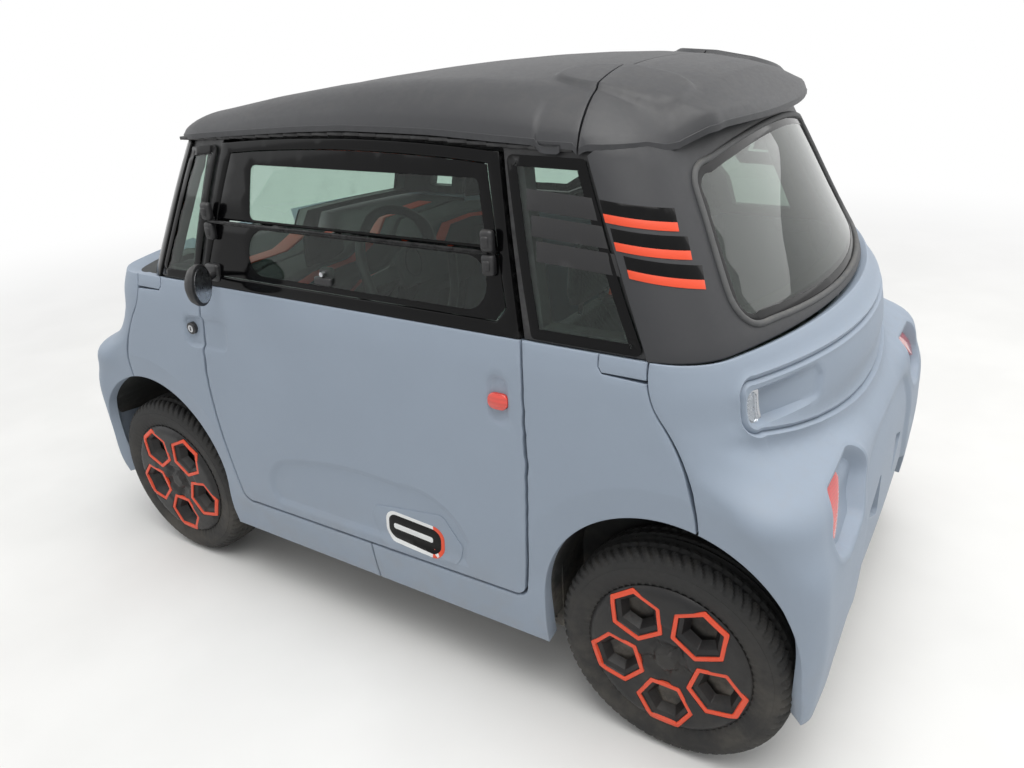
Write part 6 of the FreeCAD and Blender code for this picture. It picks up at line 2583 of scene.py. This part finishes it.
@dataclass
class Cabin:
    """Dashboard, steering wheel, padded seats, strap and luggage net."""

    seat_y: float = 0.300
    cushion_low: Point = (0.048, -0.209, 0.436)
    cushion_high: Point = (0.468, 0.209, 0.511)
    helm_centre: Point = (-0.0656, -0.300, 1.000)
    helm_radius: float = 0.172
    helm_rim: float = 0.0135
    column_tilt: float = math.radians(27.0)
    dash_front: float = -0.540
    dash_half: float = 0.572
    cowl_top: float = 0.984
    cowl_thick: float = 0.012
    cowl_strip: Plane = (-0.660, -0.598)
    voxel: float = 0.006
    pressure: float = 4.0
    cap: float = 0.012
    keep_share: float = 0.22
    channel_width: float = 0.006

    def pad_mesh(self, name: str, sections: list[tuple[float, ...]], y: float) -> bpy.types.Object:
        """Closed pad lofted through upright oblong sections.

        Args:
            name: the piece's name.
            sections: centre x, centre z, half depth, half width and lean of each section.
            y: the pad's middle.

        Returns:
            The pad.
        """
        verts = []
        sides = 28
        for cx, cz, half_depth, half_width, lean in sections:
            for k in range(sides):
                a = math.tau * k / sides
                c, s = math.cos(a), math.sin(a)
                px = math.copysign(abs(c) ** 0.45, c) * half_depth
                py = math.copysign(abs(s) ** 0.35, s) * half_width
                verts.append((cx + px * math.cos(lean), y + py, cz - px * math.sin(lean)))
        faces = ring_faces(len(sections), sides) + [end[::-1] for end in end_faces(len(sections), sides)]
        return face_outward(new_object(name, verts, faces, 60))

    def inflate(self, obj: bpy.types.Object) -> None:
        """Swells a pad under its cover by a short cloth simulation, then eases and thins its mesh.

        Args:
            obj: the piece.
        """
        bpy.context.view_layer.objects.active = obj
        remesh = obj.modifiers.new("remesh", "REMESH")
        remesh.mode = "VOXEL"
        remesh.voxel_size = self.voxel
        bpy.ops.object.modifier_apply(modifier=remesh.name)
        before = np.array([tuple(v.co) for v in obj.data.vertices])
        cloth = obj.modifiers.new("cover", "CLOTH")
        cloth.settings.use_pressure = True
        cloth.settings.uniform_pressure_force = self.pressure
        cloth.settings.effector_weights.gravity = 0.0
        cloth.settings.quality = 4
        cloth.settings.tension_stiffness = 12.0
        cloth.settings.compression_stiffness = 12.0
        cloth.point_cache.frame_end = 20
        scene = bpy.context.scene
        for step in range(1, 21):
            scene.frame_set(step)
        shaped = obj.evaluated_get(bpy.context.evaluated_depsgraph_get())
        after = np.array([tuple(v.co) for v in shaped.data.vertices])
        obj.modifiers.remove(cloth)
        scene.frame_set(1)
        move = after - before
        length = np.linalg.norm(move, axis=1, keepdims=True)
        move *= np.minimum(1.0, self.cap / np.maximum(length, 1e-9))
        for vertex, place in zip(obj.data.vertices, before + move):
            vertex.co = place
        for kind, settings in (("SUBSURF", {"levels": 1}), ("DECIMATE", {"ratio": self.keep_share})):
            modifier = obj.modifiers.new(kind.lower(), kind)
            for key, value in settings.items():
                setattr(modifier, key, value)
            bpy.ops.object.modifier_apply(modifier=modifier.name)
        obj.data.shade_smooth()

    def channels(self, obj: bpy.types.Object, axis: int, lines: list[float], depth: float, up: Vector) -> None:
        """Sewn channels: narrow lines pressed into the padded face.

        Args:
            obj: the pad.
            axis: coordinate that the lines are set along.
            lines: where they lie.
            depth: how deep.
            up: direction out of the padded face.
        """
        for vertex, normal in zip(obj.data.vertices, [tuple(n.vector) for n in obj.data.vertex_normals]):
            facing = max(0.0, Vector(normal).dot(up))
            for line in lines:
                press = math.exp(-((vertex.co[axis] - line) / self.channel_width) ** 2) * depth * facing
                vertex.co -= up * press

    def seats(self) -> None:
        """Two seats: cushion, backrest and headrest, each padded, the cushion and backrest channelled."""
        cloth = SEAT_CLOTH
        y = -self.seat_y
        low, high = self.cushion_low, self.cushion_high
        mid_x, half_x = (low[0] + high[0]) / 2, (high[0] - low[0]) / 2
        steps = (0.0, 0.12, 0.5, 0.88, 1.0)
        widths = (0.93, 1.0, 1.0, 0.98, 0.90)
        cushion = self.pad_mesh("cushion", [
            (mid_x, low[2] + (high[2] - low[2]) * t, half_x * w, high[1] * w, 0.0) for t, w in zip(steps, widths)], y)
        back = self.pad_mesh("back", [
            (0.437, 0.529, 0.026, 0.195, 0.0), (0.440, 0.56, 0.030, 0.205, -0.15), (0.462, 0.74, 0.029, 0.206, -0.15),
            (0.485, 0.90, 0.027, 0.196, -0.15), (0.494, 0.962, 0.022, 0.170, -0.15)], y)
        head = self.pad_mesh("head", [
            (0.502, 0.990, 0.018, 0.095, -0.1), (0.508, 1.02, 0.024, 0.108, -0.1), (0.517, 1.10, 0.023, 0.110, -0.1),
            (0.523, 1.142, 0.016, 0.085, -0.1)], y)
        for pad in (cushion, back, head):
            self.inflate(pad)
            dress(pad, cloth)
        self.channels(cushion, 1, [y - 0.11, y + 0.11], 0.007, Vector((0, 0, 1)))
        self.channels(cushion, 0, [0.20, 0.33], 0.005, Vector((0, 0, 1)))
        self.channels(back, 1, [y - 0.11, y + 0.11], 0.006, Vector((-1, 0, 0)))
        self.channels(back, 2, [0.66, 0.80], 0.005, Vector((-1, 0, 0)))
        posts = [tube("post", [(0.500, y + dy, 0.955), (0.505, y + dy, 1.000)], 0.006, sides=12)
                 for dy in (-0.05, 0.05)]
        post = dress(join("headrest_posts", posts), METAL)
        for piece, kind, nodes in ((cushion, "cushion", ("seat_cushions",)), (back, "backrest", ("seat_backs",)),
                                   (head, "headrest", ("seat_backs",)), (post, "headrest_posts", ())):
            other = mirrored_copy(piece, f"seat_right_{kind}")
            piece.name = f"seat_left_{kind}"
            for seat in (piece, other):
                settle(seat, "car_body", "seat_fabric", *nodes)

    def dashboard(self) -> None:
        """Deep dashboard shelf with a lip, orange strips, a holder and vents."""
        front, half = self.dash_front, self.dash_half
        section = [(front + 0.002, 0.702), (-0.432, 0.702), (-0.352, 0.772), (-0.334, 0.805), (-0.334, 0.862),
                   (-0.346, 0.880), (-0.372, 0.893), (-0.420, 0.888), (-0.424, 0.900), (-0.388, 0.974),
                   (-0.396, 0.983), (front + 0.002, 0.983)]
        body = slab("dash", rounded(section, 0.012), lambda u, v, d: (u, -half + d, v), 2 * half, 0.006)
        parts = [dress(body, DASH)]
        for x0, x1, z0, z1 in ((-0.372, -0.337, 0.892, 0.8955), (-0.398, -0.392, 0.950, 0.975)):
            for low_y, high_y in ((-0.560, -0.060), (0.060, 0.560)):
                parts.append(block("strip", ORANGE, (x0, low_y, z0), (x1, high_y, z1), 0.0015))
        for y in (-0.52, -0.08, 0.08, 0.52):
            ring = [(-0.3345, y + 0.034 * math.cos(a), 0.835 + 0.020 * math.sin(a))
                    for a in np.linspace(0, math.tau, 24, endpoint=False)]
            parts.append(dress(tube("vent", ring, 0.004, True, 8), BLACK_SATIN))
            for k in range(4):
                z = 0.823 + 0.008 * k
                parts.append(block("slat", BLACK_SATIN, (-0.337, y - 0.030, z), (-0.333, y + 0.030, z + 0.003), 0.001))
        parts.append(block("holder", BLACK_SATIN, (-0.450, -0.045, 0.980), (-0.420, 0.045, 1.015), 0.006))
        parts.append(block("switches", BLACK_GLOSS, (-0.350, -0.050, 0.800), (-0.326, 0.050, 0.850), 0.006))
        settle(join("dashboard_moulding", parts), "car_body", "dash_plastic", "dashboard")
        screen = block("screen", BLACK_GLOSS, (-0.402, -0.375, 0.985), (-0.385, -0.225, 1.060), 0.006)
        settle(screen, "car_body", "dash_plastic")

    def cowl(self) -> None:
        """Shelf from the dashboard to the windscreen's foot, with an orange strip across it."""
        level = self.cowl_top - self.cowl_thick
        s = -np.linspace(0.66, 2 * BODY.length - 0.66, 60)
        edge = [(float(x), float(y)) for x, y, _ in BODY.point(s, np.full(60, self.cowl_top), 0.035)]
        half = self.dash_half - 0.007
        loop = [(self.dash_front - 0.005, math.copysign(half, edge[0][1]))] + edge
        loop.append((self.dash_front - 0.005, math.copysign(half, edge[-1][1])))
        plate = slab("cowl", loop, lambda u, v, d: (u, v, level + d), self.cowl_thick, 0.002)
        x0, x1 = self.cowl_strip
        strip = block("strip", ORANGE, (x0, -0.5, self.cowl_top - 0.001), (x1, 0.5, self.cowl_top + 0.0035), 0.0015)
        piece = join("cowl_shelf", [dress(plate, DASH), strip])
        settle(piece, "car_body", "dash_plastic")

    def helm(self) -> None:
        """Steering wheel with two spokes, a padded hub and a thin ring on the hub."""
        centre = Vector(self.helm_centre)
        axis = Vector((math.cos(self.column_tilt), 0, math.sin(self.column_tilt)))
        side = Vector((0, 1, 0))
        top = axis.cross(side)

        def at(u: float, v: float, w: float) -> tuple[float, float, float]:
            """Place across, up and out of the wheel's plane."""
            return tuple(centre + side * u + top * v + axis * w)

        rim = []
        for a in np.linspace(0, math.tau, 64, endpoint=False):
            rim.append(at(self.helm_radius * math.cos(a), self.helm_radius * math.sin(a), 0.0))
        parts = [dress(tube("rim", rim, self.helm_rim, True, 14), BLACK_SATIN)]
        for sign in (-1, 1):
            outline = [(sign * 0.030, -0.020), (sign * 0.165, -0.013), (sign * 0.165, 0.015), (sign * 0.030, 0.024)]
            spoke = slab("spoke", rounded(outline, 0.006), lambda u, v, d: at(u, v, d - 0.006), 0.012, 0.003)
            parts.append(dress(spoke, DASH))
        hub = rounded([(-0.062, -0.052), (0.062, -0.052), (0.052, 0.040), (-0.052, 0.040)], 0.026)
        parts.append(dress(slab("hub", hub, lambda u, v, d: at(u, v, d - 0.012), 0.028, 0.008), DASH))
        parts.append(dress(tube("ring", [at(0.030 * math.cos(a), 0.030 * math.sin(a), 0.0155)
                                         for a in np.linspace(0, math.tau, 32, endpoint=False)], 0.0016, True, 8),
                           BLACK_GLOSS))
        settle(join("steering_wheel_piece", parts), "steering_wheel", "black_plastic", "steering_wheel")

    def details(self) -> None:
        """Orange strap on the left rear post and a net along the luggage shelf."""
        ribbon = []
        for k in range(13):
            t = k / 12
            x, z = 0.655 + 0.012 * math.sin(3.1 * t), 1.215 - 0.150 * t
            y = -0.500 - 0.012 * math.sin(math.pi * t)
            ribbon += [(x - 0.012, y, z), (x + 0.012, y, z), (x + 0.012, y + 0.002, z), (x - 0.012, y + 0.002, z)]
        faces = ring_faces(13, 4) + [end[::-1] for end in end_faces(13, 4)]
        strap = face_outward(new_object("strap", ribbon, faces, 40))
        clips = [block("clip", BLACK_SATIN, (0.640, -0.522, z - 0.008), (0.670, -0.494, z + 0.008), 0.003)
                 for z in (1.219, 1.062)]
        piece = join("grab_strap", [dress(strap, STRAP)] + clips)
        settle(piece, "car_body", "black_plastic")
        cords = []
        for k in range(17):
            y = -0.48 + 0.06 * k
            cords.append(tube("cord", [(0.578, y, 0.704), (0.574, y, 0.85)], 0.0016, sides=6))
        for k in range(4):
            z = 0.715 + 0.045 * k
            cords.append(tube("cord", [(0.576, -0.49, z), (0.570, 0.0, z - 0.006), (0.576, 0.49, z)], 0.0016, sides=6))
        rail = [tube("rail", [(0.576, -0.50, z), (0.576, 0.50, z)], 0.005, sides=10) for z in (0.706, 0.852)]
        net = join("luggage_net", [dress(c, NET) for c in cords] + [dress(r, BLACK_SATIN) for r in rail])
        settle(net, "car_body", "tub_plastic")

    def build(self) -> None:
        """Everything that shows through the glass."""
        self.seats()
        self.dashboard()
        self.cowl()
        self.helm()
        self.details()


# Carried-over nodes and the studio

WHITE_LIGHT = (1.0, 1.0, 1.0, 1.0)


class Underbody:
    """Pieces of the frame that keep their own meshes and only take a finish."""

    finishes: dict[str, Moulded] = {
        "floor_tub": TUB_BLACK, "wheel_liners": TUB_BLACK, "seat_box": TUB_BLACK, "cabin_cell": BLACK_SATIN,
        "chassis_frame": CHASSIS_BLACK, "front_suspension": CHASSIS_BLACK, "rear_axle": CHASSIS_BLACK,
        "knuckle_left": CAST, "knuckle_right": CAST, "battery_block": BATTERY, "motor_block": MOTOR,
        "steering_column": BLACK_SATIN}

    def build(self) -> None:
        """Gives each node its finish."""
        for node, finish in self.finishes.items():
            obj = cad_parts[node]
            dress_node(obj, finish.build())
            LOG.info("%s dressed", node)


def dress_node(obj: bpy.types.Object, material: bpy.types.Material) -> None:
    """Assigns a finish to the material slots of a frame node, whose mesh stays as it is.

    Args:
        obj: the piece.
        material: the finish's material.
    """
    if not obj.material_slots:
        obj.data.materials.append(material)
    for slot in obj.material_slots:
        slot.material = material


@dataclass
class Studio:
    """Pale floor, soft lights and the camera at the photo's angle."""

    azimuth: float = math.radians(33.37)
    elevation: float = math.radians(24.47)
    roll: float = math.radians(3.44)
    place: Point = (1.366, -1.988, 1.619)
    focal_px: float = 800.0
    width_px: float = 1024.0
    floor_size: float = 60.0
    floor_fade: Plane = (2.0, 6.5)

    def camera(self) -> None:
        """Camera fitted to the photo's wheels, roof and shut lines."""
        az, el = self.azimuth, self.elevation
        back = Vector((math.sin(az) * math.cos(el), -math.cos(az) * math.cos(el), math.sin(el)))
        right = (-back).cross(Vector((0, 0, 1))).normalized()
        down = (-back).cross(right)
        turned_right = right * math.cos(self.roll) + down * math.sin(self.roll)
        turned_down = down * math.cos(self.roll) - right * math.sin(self.roll)
        data = bpy.data.cameras.new("camera")
        data.sensor_width = 36.0
        data.lens = self.focal_px * data.sensor_width / self.width_px
        data.clip_end = 200.0
        obj = linked("camera", data)
        matrix = Matrix.Identity(4)
        for row in range(3):
            matrix[row][0], matrix[row][1], matrix[row][2] = turned_right[row], -turned_down[row], back[row]
            matrix[row][3] = self.place[row]
        obj.matrix_world = matrix
        bpy.context.scene.camera = obj

    def floor(self) -> None:
        """Plain pale floor that keeps the car's shadow."""
        h = self.floor_size / 2
        obj = new_object("studio_floor", [(-h, -h, 0), (h, -h, 0), (h, h, 0), (-h, h, 0)], [(0, 1, 2, 3)])
        material, g, shader = fresh_material("studio_floor")
        pale = g.mix(g.ramp(g.noise(2.0), 0.3, 0.7), (0.80, 0.80, 0.79, 1.0), (0.84, 0.84, 0.83, 1.0))
        g.feed(shader, {"Base Color": pale, "Roughness": 0.95, "Specular IOR Level": 0.1})
        reach = g.add("VectorMath", {0: g.place()}, operation="LENGTH").outputs["Value"]
        shown = g.math("MULTIPLY", g.ramp(reach, *self.floor_fade), self.looked_at(g))
        g.surface(shader, g.add("Emission", {"Color": WHITE_LIGHT, "Strength": 1.0}), shown)
        obj.data.materials.append(material)

    def looked_at(self, g: Graph) -> Socket:
        """1 where the camera, gloss or glass looks at the surface, 0 where it lights the car.

        Args:
            g: the graph that gets the nodes.

        Returns:
            The mask.
        """
        rays = g.add("LightPath").outputs
        seen = g.math("MAXIMUM", rays["Is Camera Ray"], rays["Is Transmission Ray"])
        return g.math("MAXIMUM", seen, rays["Is Glossy Ray"])

    def world(self) -> None:
        """Even pale surround, a little brighter where the camera, gloss or glass looks at it."""
        world = bpy.data.worlds.new("studio")
        bpy.context.scene.world = world
        world.use_nodes = True
        g = Graph(world.node_tree)
        g.feed(world.node_tree.nodes["Background"],
               {"Strength": g.ramp(self.looked_at(g), 0.0, 1.0, 0.52, 1.0), "Color": WHITE_LIGHT})

    def light(self, name: str, place: Point, size: float, power: float, colour: tuple[float, float, float]) -> None:
        """One square area light aimed at the car's middle.

        Args:
            name: its name.
            place: where it stands.
            size: side of the square, m.
            power: its power, W.
            colour: its colour.
        """
        data = bpy.data.lights.new(name, "AREA")
        data.size = size
        data.energy = power
        data.color = colour
        obj = linked(name, data)
        obj.location = place
        obj.rotation_euler = (Vector((0, 0, 0.7)) - Vector(place)).to_track_quat("-Z", "Y").to_euler()

    def build(self) -> None:
        """Camera, floor, surround and lights."""
        bpy.context.scene.view_settings.view_transform = "Standard"
        self.camera()
        self.floor()
        self.world()
        self.light("key", (1.6, -1.0, 6.2), 5.0, 330.0, (1.0, 0.99, 0.97))
        self.light("fill", (-4.5, -2.0, 3.5), 4.0, 45.0, (0.97, 0.99, 1.0))
        self.light("back", (3.5, 4.0, 4.0), 4.0, 60.0, (1.0, 1.0, 1.0))


def main() -> None:
    """Builds the car's sub-assemblies in order and reports them."""
    logging.basicConfig(level=logging.INFO, format="%(message)s")
    Studio().build()
    panels = BodyPanels()
    panels.build_ends()
    panels.build_wings()
    Doors(panels).build()
    Canopy().build()
    Lamps().build()
    Wheels().build()
    Cabin().build()
    Underbody().build()


if __name__ == "__main__":
    main()
